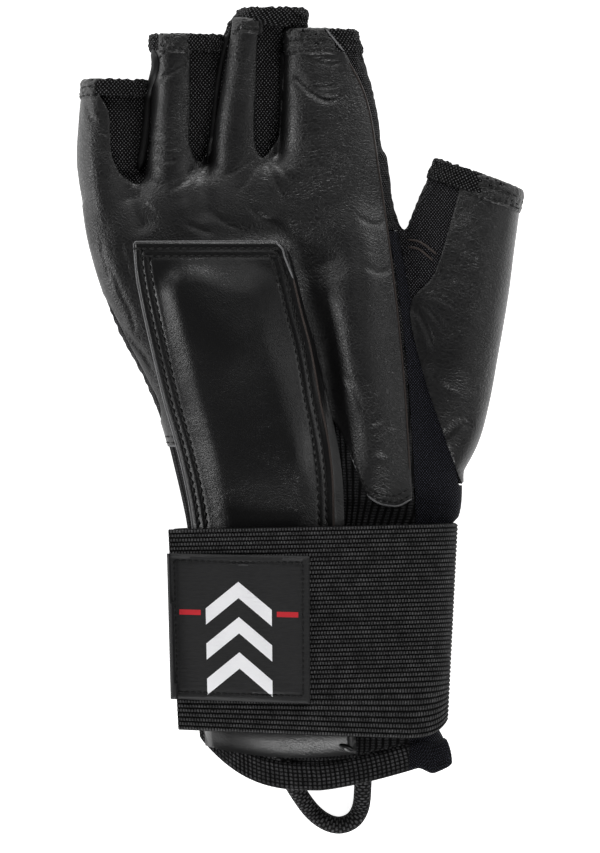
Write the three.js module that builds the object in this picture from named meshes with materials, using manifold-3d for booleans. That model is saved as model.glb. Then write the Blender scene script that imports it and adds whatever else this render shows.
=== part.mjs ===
// A right-hand wrist guard glove that lies palm up: leather palm and thumb, knit back and finger gussets,
// ribbed cuff, stitched splint cover over the palm and wrist, and a wide elastic wrist strap with a label.
// +X points to the thumb side, +Y to the finger tips, +Z up out of the palm. Millimetres.
import * as THREE from "three";
import { mergeVertices } from "three/addons/utils/BufferGeometryUtils.js";
import Module from "manifold-3d";

const wasm = await Module();
wasm.setup();

// Driving dimensions
const WALL = 1.8; // knit and leather wall
const SEAM = 0.3; // gap that two pieces keep where they meet
const PRESS = 1.6; // how much of a round underside is pressed flat by the table
const BOXINESS = 2.5; // exponent of every oval section, 2 is an ellipse
const FRONT_Z = 9.5; // height of the side seam between leather front and knit back
const GUSSET_Z = 3.4; // height where the finger gussets meet the back
const TRUNK_SIDES = 36;
const FINGER_SIDES = 14;
const HEM_SWELL = 0.7; // how far a hem stands proud of its tube

const STRAP = { thick: 1.8, top: -41.6, bottom: -105, taper: 0.93, axisX: 4, bow: 4.6 };
const LABEL = { thick: 1.2, steps: 8 };
const LABEL_CORNERS = {
  top: [
    [3.3, -52.0],
    [-41.8, -50.2],
  ],
  bottom: [
    [3.1, -96.7],
    [-40.6, -94.2],
  ],
};
const COVER = { lift: 0.6, flange: 2.4, rise: 3.2, border: 5, wristRise: 1.6, corner: 3.5 };
const LOOP = { diameter: 5.6, sides: 8, steps: 30 };

// Hand and wrist tube: one row for each cross-section, wrist first.
const TRUNK = [
  { y: -130, left: -31.5, right: 48.6, top: 21.0, rest: 3.1 },
  { y: -116, left: -31.5, right: 47.5, top: 22.0, rest: 3.1 },
  { y: -106, left: -31.6, right: 43.8, top: 22.5, rest: 2.9 },
  { y: -75, left: -33.5, right: 45.5, top: 23.0, rest: 2.4 },
  { y: -50, left: -35.2, right: 46.5, top: 23.4, rest: 2.4 },
  { y: -42, left: -36.2, right: 46.9, top: 23.6, rest: 2.2 },
  { y: -37.5, left: -36.9, right: 50.9, top: 24.0, rest: 1.6 },
  { y: -23, left: -40.2, right: 51.8, top: 25.0, rest: 0.4 },
  { y: -8, left: -44.2, right: 51.5, top: 26.0, rest: 0.0 },
  { y: 6, left: -49.8, right: 49.5, top: 27.0, rest: 0.0 },
  { y: 20, left: -57.3, right: 45.0, top: 27.5, rest: 0.0 },
  { y: 34, left: -62.9, right: 39.5, top: 27.0, rest: 0.0 },
  { y: 50, left: -67.6, right: 34.0, top: 25.0, rest: 0.0 },
  { y: 64, left: -69.8, right: 29.0, top: 22.0, rest: 0.0 },
  { y: 78, left: -70.6, right: 26.5, top: 19.0, rest: 0.0 },
];
// Where the tube ends between the fingers, and how much further it reaches for each millimetre to the thumb side
const ROOT_LINE = { y: 75.5, atX: -14, slope: 0.16 };
// Where the tube ends at the wrist: lowest point, rise to each side, the drooping tab, and the shorter back
const WRIST_LINE = { y: -125, atX: 6, riseLeft: 0.0003, riseRight: 0.075, backY: -119, backShare: 0.6 };
const TAB = { from: 37, to: 43, droop: 3.6 };
const HEM_BAND = 9;
const WRIST_ROW = -112; // table place of the tube's shape where the cuff ends and its hem begins

// Relief of the palm: each row is a soft bump or dent
const RELIEF = [
  { x: 19, y: 22, spreadX: 11, spreadY: 42, height: 4.2 }, // ball of the thumb
  { x: 27, y: -18, spreadX: 8, spreadY: 20, height: 2.4 }, // heel of the palm
  { x: 2, y: 62, spreadX: 13, spreadY: 16, height: 2.4 }, // root of the index finger
  { x: 9, y: 6, spreadX: 4, spreadY: 26, height: -2.2 }, // groove beside the cover
  { x: -38, y: 64, spreadX: 18, spreadY: 12, height: 1.4 }, // roots of the outer fingers
];

// Finger tubes, root first. roll lowers the thumb side of a finger under its neighbour.
const FINGERS = {
  little: {
    band: 5,
    roll: 0.3,
    stations: [
      { x: -58.0, y: 52, z: 9.8, halfWidth: 9.0, halfHeight: 9.6 },
      { x: -61.2, y: 74, z: 9.6, halfWidth: 9.7, halfHeight: 9.6 },
      { x: -60.5, y: 88, z: 9.2, halfWidth: 10.1, halfHeight: 9.2 },
      { x: -59.3, y: 102, z: 8.8, halfWidth: 10.0, halfHeight: 8.6 },
    ],
  },
  ring: {
    band: 5,
    roll: 0.3,
    stations: [
      { x: -40.0, y: 54, z: 10.2, halfWidth: 9.6, halfHeight: 10.2 },
      { x: -40.3, y: 76, z: 10.0, halfWidth: 9.7, halfHeight: 10.0 },
      { x: -37.3, y: 98, z: 9.6, halfWidth: 10.5, halfHeight: 9.6 },
      { x: -36.4, y: 116.4, z: 9.2, halfWidth: 11.4, halfHeight: 9.0 },
    ],
  },
  middle: {
    band: 5,
    roll: 0.3,
    stations: [
      { x: -18.0, y: 56, z: 10.4, halfWidth: 10.6, halfHeight: 10.4 },
      { x: -18.2, y: 80, z: 10.2, halfWidth: 10.9, halfHeight: 10.2 },
      { x: -16.1, y: 104, z: 9.8, halfWidth: 9.6, halfHeight: 9.8 },
      { x: -15.2, y: 118.2, z: 9.4, halfWidth: 8.6, halfHeight: 9.4 },
      { x: -9.6, y: 121.8, z: 9.2, halfWidth: 11.2, halfHeight: 9.2 },
      { x: -9.0, y: 125, z: 9.0, halfWidth: 9.8, halfHeight: 9.0 },
    ],
  },
  index: {
    band: 8.2,
    roll: 0.06,
    stations: [
      { x: 10.0, y: 52, z: 11.0, halfWidth: 16.0, halfHeight: 11.0 },
      { x: 9.6, y: 72, z: 11.0, halfWidth: 16.4, halfHeight: 11.2 },
      { x: 9.6, y: 88, z: 11.0, halfWidth: 15.5, halfHeight: 11.0 },
      { x: 8.7, y: 100, z: 10.8, halfWidth: 14.0, halfHeight: 10.0 },
      { x: 6.2, y: 118, z: 10.4, halfWidth: 11.2, halfHeight: 9.8 },
    ],
  },
};
const THUMB = {
  band: 6,
  roll: -0.12,
  stations: [
    { x: 37.5, y: -27, z: 12.0, halfWidth: 11.4, halfHeight: 7.5, lean: 0.1 },
    { x: 40.4, y: -13, z: 12.2, halfWidth: 16.0, halfHeight: 9.6, lean: 0.1 },
    { x: 42.4, y: 0, z: 12.4, halfWidth: 17.6, halfHeight: 11.0, lean: 0.12 },
    { x: 44.5, y: 16, z: 12.6, halfWidth: 18.4, halfHeight: 12.0, lean: 0.16 },
    { x: 48.0, y: 36, z: 12.8, halfWidth: 18.4, halfHeight: 12.2, lean: 0.22 },
    { x: 51.9, y: 54, z: 12.8, halfWidth: 17.0, halfHeight: 11.8, lean: 0.3 },
    { x: 57.2, y: 71.7, z: 12.8, halfWidth: 14.4, halfHeight: 10.8, lean: 0.36 },
  ],
};

// Leather fronts of the fingers, seen from above: the two edges at the tip and above the root, and the tip
const FRONTS = [
  { tip: 97.0, tipLeft: -80.0, tipRight: -64.2, rootLeft: -80.0, rootRight: -60.2, rootY: 77 },
  { tip: 111.4, tipLeft: -47.6, tipRight: -35.2, rootLeft: -47.9, rootRight: -35.2, rootY: 81 },
  { tip: 120.0, tipLeft: -21.6, tipRight: -13.6, rootLeft: -28.2, rootRight: -14.6, rootY: 82 },
  { tip: 109.6, tipLeft: -6.4, tipRight: 14.6, rootLeft: -7.0, rootRight: 23.8, rootY: 83 },
];
const CROTCHES = [
  { x: -52.4, y: 68.6 },
  { x: -32.2, y: 75.6 },
  { x: -12.0, y: 76.8 },
];
// Leather edge from the index finger down to the heel, round the heel, and back up the little finger's side
const PALM_THUMB_SIDE = [
  [14.6, 109.6],
  [21.4, 95.5],
  [25.4, 73.0],
  [29.4, 44.0],
  [33.2, 8.0],
  [35.4, -26.0],
  [35.6, -32.6],
];
const PALM_HEEL = [
  [35.6, -32.6],
  [30.0, -34.8],
  [22.0, -31.6],
  [16.2, -18.6],
  [8.0, -5.0],
  [-12.0, 0.0],
  [-30.0, -8.0],
  [-37.5, -15.6],
];
const PALM_OUTER_SIDE = [
  [-46.5, -15.2],
  [-44.6, -4.0],
  [-48.2, 5.0],
  [-54.6, 17.4],
  [-61.6, 31.0],
  [-70.0, 43.0],
  [-80.0, 62.0],
];
const THUMB_LEATHER = [
  [52.6, 75.6],
  [49.4, 62.0],
  [42.6, 40.0],
  [34.9, 29.4],
  [39.0, 8.0],
  [46.4, -14.0],
  [51.4, -27.0],
];
const GUSSET_EDGE = [
  [27.6, 53.6],
  [30.2, 41.0],
  [34.0, 8.0],
  [36.2, -26.0],
  [36.4, -40.0],
  [35.4, -75.0],
  [34.4, -130.0],
];
// Splint cover: one row for each cross-section, finger end first
const COVER_ROWS = [
  { y: 50.2, left: -53.4, right: -4.6 },
  { y: 41.0, left: -52.9, right: -1.9 },
  { y: 28.0, left: -50.5, right: 1.4 },
  { y: 15.5, left: -47.7, right: 5.0 },
  { y: 0.0, left: -44.1, right: 8.4 },
  { y: -13.3, left: -40.4, right: 11.6 },
  { y: -26.0, left: -37.3, right: 13.4 },
  { y: -41.0, left: -34.8, right: 14.0 },
  { y: -75.0, left: -32.5, right: 16.0 },
  { y: -113.0, left: -30.4, right: 17.8 },
];
// Strap route round the wrist at its top edge, from the hidden end under the label to the free end on it
const STRAP_ROUTE = [
  [4, 30.0],
  [-12, 30.2],
  [-28, 29.6],
  [-37.6, 25.4],
  [-40.4, 15.5],
  [-37.0, 5.0],
  [-27.0, 0.9],
  [-5.0, 0.9],
  [16.0, 0.9],
  [38.0, 0.9],
  [47.4, 4.6],
  [49.5, 12.5],
  [48.2, 21.0],
  [42.0, 27.0],
  [30.0, 30.4],
  [14.0, 32.2],
  [-4.0, 32.6],
  [-20.0, 32.4],
  [-34.0, 31.8],
  [-41.9, 30.6],
];
// Centre line of the pull loop, from inside the cuff out and back
const LOOP_ROUTE = [
  [-6.6, -111.0, 8.2],
  [-5.4, -118.0, 8.2],
  [-2.2, -124.0, 6.4],
  [3.0, -131.7, 3.2],
  [7.8, -135.7, 2.9],
  [12.6, -137.0, 2.9],
  [17.0, -135.2, 2.9],
  [19.4, -130.9, 3.2],
  [20.0, -124.0, 6.4],
  [20.0, -118.0, 8.2],
  [19.6, -111.0, 8.2],
];

const COLOURS = {
  leather: { color: 0x232325, roughness: 0.42 },
  cover: { color: 0x1c1c1e, roughness: 0.3 },
  knit: { color: 0x151517, roughness: 0.95 },
  gusset: { color: 0x14151c, roughness: 0.9 },
  elastic: { color: 0x1b1b1d, roughness: 0.85 },
  label: { color: 0x202023, roughness: 0.6 },
};

// A table's columns at a place along it, on a smooth curve through the rows
function tableAt(rows, y) {
  const order = rows[0].y < rows[rows.length - 1].y ? rows : [...rows].reverse();
  const last = order.length - 2;
  const i = Math.min(last, Math.max(0, order.findIndex((row) => row.y > y) - 1));
  const from = y >= order[order.length - 1].y ? last : i;
  const near = [from - 1, from, from + 1, from + 2].map((k) => order[Math.min(last + 1, Math.max(0, k))]);
  const t = Math.min(1.5, Math.max(-0.5, (y - near[1].y) / (near[2].y - near[1].y)));
  const made = {};
  for (const name of Object.keys(near[1])) {
    const span = near[2].y - near[1].y;
    const [p0, p1, p2, p3] = near.map((row) => row[name]);
    const slope1 = near[2].y === near[0].y ? 0 : ((p2 - p0) / (near[2].y - near[0].y)) * span;
    const slope2 = near[3].y === near[1].y ? 0 : ((p3 - p1) / (near[3].y - near[1].y)) * span;
    const t2 = t * t;
    const t3 = t2 * t;
    made[name] =
      (2 * t3 - 3 * t2 + 1) * p1 + (t3 - 2 * t2 + t) * slope1 + (3 * t2 - 2 * t3) * p2 + (t3 - t2) * slope2;
  }
  return made;
}

function solidOf(positions, triangles) {
  return new wasm.Manifold(
    new wasm.Mesh({
      numProp: 3,
      vertProperties: new Float32Array(positions),
      triVerts: new Uint32Array(triangles),
    }),
  );
}

function solidOfGeometry(geometry) {
  const bare = geometry.clone();
  bare.deleteAttribute("normal");
  bare.deleteAttribute("uv");
  const merged = mergeVertices(bare, 1e-4);
  return solidOf(merged.attributes.position.array, merged.index.array);
}

// A closed solid through rings of points that run from +X over +Z, each ring further along the tube
function loft(rings) {
  const sides = rings[0].length;
  const positions = rings.flat().flatMap((p) => [p.x, p.y, p.z]);
  const triangles = [];
  for (let r = 0; r + 1 < rings.length; r++)
    for (let i = 0; i < sides; i++) {
      const a = r * sides + i;
      const b = r * sides + ((i + 1) % sides);
      triangles.push(a, a + sides, b, b, a + sides, b + sides);
    }
  [rings[0], rings[rings.length - 1]].forEach((ring, end) => {
    const middle = ring.reduce((sum, p) => sum.add(p), new THREE.Vector3()).divideScalar(sides);
    const centre = positions.length / 3;
    const first = end ? (rings.length - 1) * sides : 0;
    positions.push(middle.x, middle.y, middle.z);
    for (let i = 0; i < sides; i++) {
      const a = first + i;
      const b = first + ((i + 1) % sides);
      triangles.push(centre, end ? b : a, end ? a : b);
    }
  });
  return solidOf(positions, triangles);
}

// A closed solid between two grids of points, upper and lower, as [row][column]; columns run to the
// upper side's left when its rows run away from the viewer
function sheet(upper, lower) {
  const rows = upper.length;
  const columns = upper[0].length;
  const positions = [...upper.flat(), ...lower.flat()].flatMap((p) => [p.x, p.y, p.z]);
  const at = (r, c, under) => (under ? rows * columns : 0) + r * columns + c;
  const triangles = [];
  const quad = (a, b, c, d) => triangles.push(a, b, c, a, c, d);
  for (let r = 0; r + 1 < rows; r++)
    for (let c = 0; c + 1 < columns; c++) {
      quad(at(r, c), at(r + 1, c), at(r + 1, c + 1), at(r, c + 1));
      quad(at(r, c, 1), at(r, c + 1, 1), at(r + 1, c + 1, 1), at(r + 1, c, 1));
    }
  for (let r = 0; r + 1 < rows; r++) {
    quad(at(r, 0), at(r, 0, 1), at(r + 1, 0, 1), at(r + 1, 0));
    quad(at(r, columns - 1), at(r + 1, columns - 1), at(r + 1, columns - 1, 1), at(r, columns - 1, 1));
  }
  for (let c = 0; c + 1 < columns; c++) {
    quad(at(0, c), at(0, c + 1), at(0, c + 1, 1), at(0, c, 1));
    quad(at(rows - 1, c), at(rows - 1, c, 1), at(rows - 1, c + 1, 1), at(rows - 1, c + 1));
  }
  return solidOf(positions, triangles);
}

// The outline of an oval of the given half sizes, as [across, up] offsets from its centre
function oval(halfWidth, halfHeight, sides, press = 0) {
  return Array.from({ length: sides }, (_, i) => {
    const angle = (2 * Math.PI * i) / sides;
    const shaped = (v) => Math.sign(v) * Math.abs(v) ** (2 / BOXINESS);
    const tall = Math.sin(angle) < 0 ? halfHeight + press : halfHeight;
    return [halfWidth * shaped(Math.cos(angle)), tall * shaped(Math.sin(angle))];
  });
}

function reliefAt(x, y) {
  return RELIEF.reduce(
    (sum, bump) =>
      sum + bump.height * Math.exp(-(((x - bump.x) / bump.spreadX) ** 2) - ((y - bump.y) / bump.spreadY) ** 2),
    0,
  );
}

// Where the tube's wrist end lies: the palm side droops in the middle, and the back is shorter
function wristEnd(x, height) {
  const away = x - WRIST_LINE.atX;
  const arc = away < 0 ? WRIST_LINE.riseLeft * Math.abs(away) ** 3 : WRIST_LINE.riseRight * away ** 1.3;
  const rise = arc - TAB.droop * THREE.MathUtils.smoothstep(x, TAB.from, TAB.to);
  return height * (WRIST_LINE.y + rise) + (1 - height) * (WRIST_LINE.backY + WRIST_LINE.backShare * rise);
}

// One ring of the hand and wrist tube, its wall taken in by inset
function trunkRing(y, inset) {
  const row = tableAt(TRUNK, y);
  const half = (row.top - row.rest) / 2;
  const centre = [(row.left + row.right) / 2, row.rest + half];
  return oval((row.right - row.left) / 2 - inset, half - inset, TRUNK_SIDES, PRESS).map(([across, up]) => {
    const x = centre[0] + across;
    const share = Math.max(0, up / half);
    const z = Math.max(row.rest + inset, centre[1] + up + reliefAt(x, y) * Math.sqrt(share));
    return new THREE.Vector3(x, y, z);
  });
}

// A ring moved along the tube, so that it lies on a slanting or bowed end
function endRing(ring, placeOf) {
  const heights = ring.map((p) => p.z);
  const low = Math.min(...heights);
  const high = Math.max(...heights);
  return ring.map((p) => new THREE.Vector3(p.x, placeOf(p.x, (p.z - low) / (high - low)), p.z));
}

const rootEnd = (inset) => (x) => ROOT_LINE.y + ROOT_LINE.slope * (x - ROOT_LINE.atX) - inset;

// The hand tube from a wrist end to the roots of the fingers
function trunkSolid(inset, reach = 0) {
  const places = [-86, -66, -50, -42, -37.5, -24, -12, 2, 16, 30, 44, 58];
  const start = (x, height) => wristEnd(x, height) + HEM_BAND - reach;
  return loft([
    endRing(trunkRing(WRIST_ROW, inset), start),
    endRing(trunkRing(-98, inset), (x, height) => (start(x, height) + places[0]) / 2),
    ...places.map((y) => trunkRing(y, inset)),
    endRing(trunkRing(70, inset + 1.4), rootEnd(inset + 2)),
    endRing(trunkRing(74, inset + 5), rootEnd(inset)),
  ]);
}

// A finger or thumb tube between two places along its table, its wall taken in by inset
function fingerRings(finger, from, to, inset) {
  const { stations, roll } = finger;
  const between = stations.map((row) => row.y).filter((y) => y > from + 1 && y < to - 1);
  return [from, ...between, to].map((y) => {
    const row = tableAt(stations, y);
    const lean = row.lean ?? 0;
    return oval(row.halfWidth - inset, row.halfHeight - inset, FINGER_SIDES).map(([across, up]) => {
      const flat = across * Math.cos(roll) + up * Math.sin(roll);
      const z = row.z + up * Math.cos(roll) - across * Math.sin(roll);
      return new THREE.Vector3(row.x + flat * Math.cos(lean), row.y - flat * Math.sin(lean), Math.max(z, inset, 0));
    });
  });
}

const rootOf = (finger) => finger.stations[0].y;
const tipOf = (finger) => finger.stations[finger.stations.length - 1].y;

// Outer or inner surface of the whole glove as one solid
function gloveSolid(inset, overrun) {
  const tubes = [...Object.values(FINGERS), THUMB].map((finger) =>
    loft(fingerRings(finger, rootOf(finger), tipOf(finger) - finger.band + overrun, inset)),
  );
  return tubes.reduce((sum, tube) => sum.add(tube), trunkSolid(inset, overrun));
}

// A smooth open line through the points, one step for about each spacing millimetres
function smoothLine(points, spacing = 6.5) {
  const curve = new THREE.SplineCurve(points.map(([x, y]) => new THREE.Vector2(x, y)));
  return curve.getSpacedPoints(Math.max(2, Math.round(curve.getLength() / spacing)));
}

// An outline moved outwards by grow, seen from above and running clockwise or not
function grown(outline, grow) {
  const side = THREE.ShapeUtils.area(outline) > 0 ? 1 : -1;
  return outline.map((p, i) => {
    const before = outline[(i + outline.length - 1) % outline.length];
    const after = outline[(i + 1) % outline.length];
    const along = after.clone().sub(before).normalize();
    return new THREE.Vector2(p.x + side * along.y * grow, p.y - side * along.x * grow);
  });
}

// A vertical block over an outline, from a height up
function block(outline, low, high = 60, grow = 0) {
  const depth = high - low + grow;
  const geometry = new THREE.ExtrudeGeometry(new THREE.Shape(grown(outline, grow)), { depth, bevelEnabled: false });
  geometry.translate(0, 0, low - grow);
  return solidOfGeometry(geometry);
}

function withoutDoubles(points) {
  return points.filter((p, i) => p.distanceTo(points[(i + points.length - 1) % points.length]) > 0.5);
}

// Leather palm with its four finger fronts, seen from above
function palmOutline() {
  const fingers = FRONTS.flatMap((front, i) => {
    const last = i + 1 === FRONTS.length;
    const edge = [
      [front.rootLeft, front.rootY],
      [(front.rootLeft + front.tipLeft) / 2, (front.rootY + front.tip) / 2],
      [front.tipLeft, front.tip],
    ].map(([x, y]) => new THREE.Vector2(x, y));
    if (last) return edge;
    const next = FRONTS[i + 1];
    const crotch = smoothLine(
      [
        [front.tipRight, front.tip],
        [(front.rootRight * 2 + front.tipRight) / 3, (front.rootY * 2 + front.tip) / 3],
        [front.rootRight, front.rootY],
        [CROTCHES[i].x, CROTCHES[i].y],
        [next.rootLeft, next.rootY],
      ],
      3,
    );
    return [...edge, ...crotch];
  });
  const rest = [PALM_THUMB_SIDE, PALM_HEEL, PALM_OUTER_SIDE].flatMap((line) => smoothLine(line));
  return withoutDoubles([...fingers, ...rest]);
}

const corners = (...points) => points.map(([x, y]) => new THREE.Vector2(x, y));

// Two pieces with a seam gap between them: what lies in the region, and what is left
function cutOut(shell, region, grownRegion) {
  return [shell.intersect(region), shell.subtract(grownRegion)];
}

function largest(made) {
  return made.decompose().sort((a, b) => b.volume() - a.volume())[0];
}

function hemOf(finger) {
  const start = tipOf(finger) - finger.band + SEAM;
  const outer = loft(fingerRings(finger, start, tipOf(finger), -HEM_SWELL));
  return outer.subtract(loft(fingerRings(finger, start - 2, tipOf(finger) + 2, WALL - 0.4)));
}

// Top of the palm or cuff at a place, as the tube's own rings have it
function surfaceTop(x, y) {
  const ring = trunkRing(y, 0).slice(0, TRUNK_SIDES / 2 + 1);
  const i = ring.findIndex((p) => p.x <= x);
  if (i < 1) return ring[0].z;
  const t = (x - ring[i].x) / (ring[i - 1].x - ring[i].x);
  return ring[i].z + t * (ring[i - 1].z - ring[i].z);
}

// The raised middle of the splint cover, from 0 on the stitched border to 1
function plateau(across, along) {
  const edge = (distance) => THREE.MathUtils.smoothstep(distance, COVER.border * 0.7, COVER.border * 1.7);
  return Math.min(edge(across), edge(along));
}

// How far a rounded corner of the cover's finger end draws in at a distance from that end
function cornerInset(distance) {
  const left = Math.max(0, COVER.corner - distance);
  return COVER.corner - Math.sqrt(COVER.corner ** 2 - left ** 2);
}

// How far the cover's wrist end bows out or lies back at a share of its width
const wristBow = (share) => 2.4 * share * (1 - share) * 4 - 2.2 * share;

function splintCover() {
  const top = COVER_ROWS[0].y;
  const bottom = COVER_ROWS[COVER_ROWS.length - 1].y;
  const near = [0, 0.5, 1.5, 3.5, 6.5, 10].map((distance) => top - distance);
  const places = [...near, 30, 18, 6, -6, -18, -30, -41, -55, -75, -95, bottom + 5, bottom];
  const shares = [0, 0.08, 0.13, 0.2, 0.35, 0.5, 0.65, 0.8, 0.87, 0.92, 1];
  const grids = [true, false].map((upper) =>
    places.map((y) => {
      const row = tableAt(COVER_ROWS, y);
      const width = row.right - row.left;
      const inset = cornerInset(top - y);
      return shares.map((share) => {
        const x = THREE.MathUtils.lerp(row.right - inset, row.left + inset, share);
        const placed = y - wristBow(share) * THREE.MathUtils.smoothstep(-y, 95, -bottom);
        const clear = 1.1 * THREE.MathUtils.smoothstep(-y, 90, 98);
        const base = surfaceTop(x, placed) + COVER.lift + clear;
        const inside = plateau(Math.min(share, 1 - share) * width, top - y);
        const pressed = THREE.MathUtils.smoothstep(-y, 30, 46);
        const rise = THREE.MathUtils.lerp(COVER.rise, COVER.wristRise, pressed);
        return new THREE.Vector3(x, placed, upper ? base + COVER.flange + rise * inside : base);
      });
    }),
  );
  return sheet(grids[0].reverse(), grids[1].reverse());
}

// The strap's route at a height along the wrist, narrowing towards the forearm end
function strapLine(y, spacing = 5.5) {
  const share = (STRAP.top - y) / (STRAP.top - STRAP.bottom);
  const narrow = THREE.MathUtils.lerp(1, STRAP.taper, share);
  return smoothLine(STRAP_ROUTE, spacing).map(
    (p) => new THREE.Vector2(STRAP.axisX + (p.x - STRAP.axisX) * narrow, Math.max(p.y, STRAP.thick / 2)),
  );
}

// A line in the XZ plane moved to its left-hand side
function beside(line, distance) {
  return line.map((p, i) => {
    const along = line[Math.min(i + 1, line.length - 1)].clone().sub(line[Math.max(i - 1, 0)]).normalize();
    return new THREE.Vector2(p.x + along.y * distance, p.y - along.x * distance);
  });
}

function wristStrap() {
  const places = [STRAP.bottom, STRAP.bottom + 9, (STRAP.bottom + STRAP.top) / 2, STRAP.top];
  const grids = [-STRAP.thick / 2, STRAP.thick / 2].map((distance) =>
    places.map((y) =>
      beside(strapLine(y), distance).map((p) => {
        const sag = THREE.MathUtils.smoothstep(p.y, 16, 29) * THREE.MathUtils.clamp((p.x + 44) / 78, 0, 1);
        const bow = STRAP.bow * sag * THREE.MathUtils.smoothstep(-y, 88, -STRAP.bottom);
        return new THREE.Vector3(p.x, y - bow, Math.max(p.y, 0));
      }),
    ),
  );
  return sheet(grids[1], grids[0]);
}

// Height of the strap's outer face over a place on the palm side
function strapTop(x, y) {
  const line = beside(strapLine(y, 2), STRAP.thick / 2);
  const palmSide = line.slice(Math.round(line.length * 0.7));
  const i = Math.max(1, palmSide.findIndex((p) => p.x <= x));
  const t = THREE.MathUtils.clamp((x - palmSide[i].x) / (palmSide[i - 1].x - palmSide[i].x), -1, 1);
  return palmSide[i].y + t * (palmSide[i - 1].y - palmSide[i].y);
}

function strapLabel() {
  const { thick, steps } = LABEL;
  const between = (pair, t, axis) => THREE.MathUtils.lerp(pair[0][axis], pair[1][axis], t);
  const grids = [1.6 * SEAM + thick, 1.6 * SEAM].map((lift) =>
    [0, 0.5, 1].map((up) =>
      Array.from({ length: steps + 1 }, (_, c) => {
        const [x, y] = [0, 1].map((axis) =>
          THREE.MathUtils.lerp(
            between(LABEL_CORNERS.bottom, c / steps, axis),
            between(LABEL_CORNERS.top, c / steps, axis),
            up,
          ),
        );
        return new THREE.Vector3(x, y, strapTop(x, y) + lift);
      }),
    ),
  );
  return sheet(grids[0], grids[1]);
}

// The band round the wrist end: ribbed, a little thicker than the cuff, with the pieces' seam gap above it
function wristBand() {
  const ringAt = (inset, offset) =>
    endRing(trunkRing(WRIST_ROW - 6 + offset * 0.7, inset), (x, height) => wristEnd(x, height) + offset);
  const profile = [
    { inset: -0.2, up: 0 },
    { inset: -HEM_SWELL, up: 1.5 },
    { inset: -HEM_SWELL, up: HEM_BAND - 2 },
    { inset: 0, up: HEM_BAND - 1.4 * SEAM },
  ];
  const outer = loft(profile.map(({ inset, up }) => ringAt(inset, up)));
  return outer.subtract(loft([-4, HEM_BAND + 4].map((up) => ringAt(WALL - 0.4, up))));
}

function pullLoop() {
  const route = new THREE.CatmullRomCurve3(LOOP_ROUTE.map((p) => new THREE.Vector3(...p)));
  const section = new THREE.Shape(
    Array.from({ length: LOOP.sides }, (_, i) => {
      const angle = (2 * Math.PI * i) / LOOP.sides;
      return new THREE.Vector2(Math.cos(angle), Math.sin(angle)).multiplyScalar(LOOP.diameter / 2);
    }),
  );
  return solidOfGeometry(
    new THREE.ExtrudeGeometry(section, { extrudePath: route, steps: LOOP.steps, bevelEnabled: false }),
  );
}

// The glove's shell, cut along its seams into leather, knit, gusset and cuff pieces
function shellPieces() {
  const shell = gloveSolid(0, 0).subtract(gloveSolid(WALL, 2));
  const pieces = {};

  const palm = palmOutline();
  let rest;
  [pieces.palm_leather, rest] = cutOut(shell, block(palm, FRONT_Z), block(palm, FRONT_Z, 60, SEAM));

  const thumbFront = [...smoothLine(THUMB_LEATHER), ...corners([84, -27], [84, 84])];
  const thumbLeather = block(thumbFront, FRONT_Z - 3.5);
  [pieces.thumb_leather, rest] = cutOut(rest, thumbLeather, block(thumbFront, FRONT_Z - 3.5, 60, SEAM));

  const thumbBack = corners([30.5, 56.5], [35.5, 30.0], [44.0, 4.0], [50.6, -27.5], [84, -27.5], [84, 84], [40, 84]);
  [pieces.thumb_knit, rest] = cutOut(rest, block(thumbBack, -2), block(thumbBack, -2, 60, SEAM));

  const side = [...smoothLine(GUSSET_EDGE, 8), ...corners([84, -130], [84, 53.6])];
  [pieces.side_gusset, rest] = cutOut(rest, block(side, 5), block(side, 5, 60, SEAM));

  const wrist = corners([-84, -14], [-30, -10], [36, -30], [84, -30], [84, -140], [-84, -140]);
  const heel = corners([-39, 4], [36, 4], [36, -60], [-39, -60]);
  const wristBlock = (grow) => block(wrist, -2, 60, grow).add(block(heel, FRONT_Z, 60, grow));
  [pieces.cuff, rest] = cutOut(rest, wristBlock(0), wristBlock(SEAM));

  CROTCHES.forEach((crotch, i) => {
    const middle = (finger) => finger.stations[2].x;
    const [left, right] = Object.values(FINGERS).slice(i, i + 2).map(middle);
    const between = corners([left, 62], [right, 62], [right, 124], [left, 124]);
    const front = corners([left - 8, 62], [right, 62], [right, 124], [left - 8, 124]);
    const walls = (grow) => block(between, GUSSET_Z, 60, grow).add(block(front, FRONT_Z - 1, 60, grow));
    const [piece, kept] = cutOut(rest, walls(0), walls(SEAM));
    pieces[`finger_gusset_${i + 1}`] = piece;
    rest = kept;
  });
  pieces.hand_back = rest;
  return { pieces, side };
}

const MATERIALS = {
  palm_leather: "leather",
  thumb_leather: "leather",
  splint_cover: "cover",
  side_gusset: "gusset",
  gusset_hem: "gusset",
  wrist_strap: "elastic",
  strap_label: "label",
};

function meshOf(name, made) {
  const data = made.getMesh();
  const geometry = new THREE.BufferGeometry();
  geometry.setAttribute("position", new THREE.BufferAttribute(data.vertProperties, 3));
  geometry.setIndex(new THREE.BufferAttribute(data.triVerts, 1));
  geometry.computeVertexNormals();
  const look = COLOURS[MATERIALS[name] ?? "knit"];
  const mesh = new THREE.Mesh(geometry, new THREE.MeshStandardMaterial({ ...look, metalness: 0 }));
  mesh.name = name;
  return mesh;
}

// Moves the glove so that it stands on the origin, its loose cord left out of the measure
function centred(glove) {
  const box = new THREE.Box3();
  glove.children.filter((mesh) => mesh.name !== "pull_loop").forEach((mesh) => box.expandByObject(mesh));
  const middle = box.getCenter(new THREE.Vector3());
  glove.children.forEach((mesh) => mesh.geometry.translate(-middle.x, -middle.y, -box.min.z));
  return glove;
}

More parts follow.
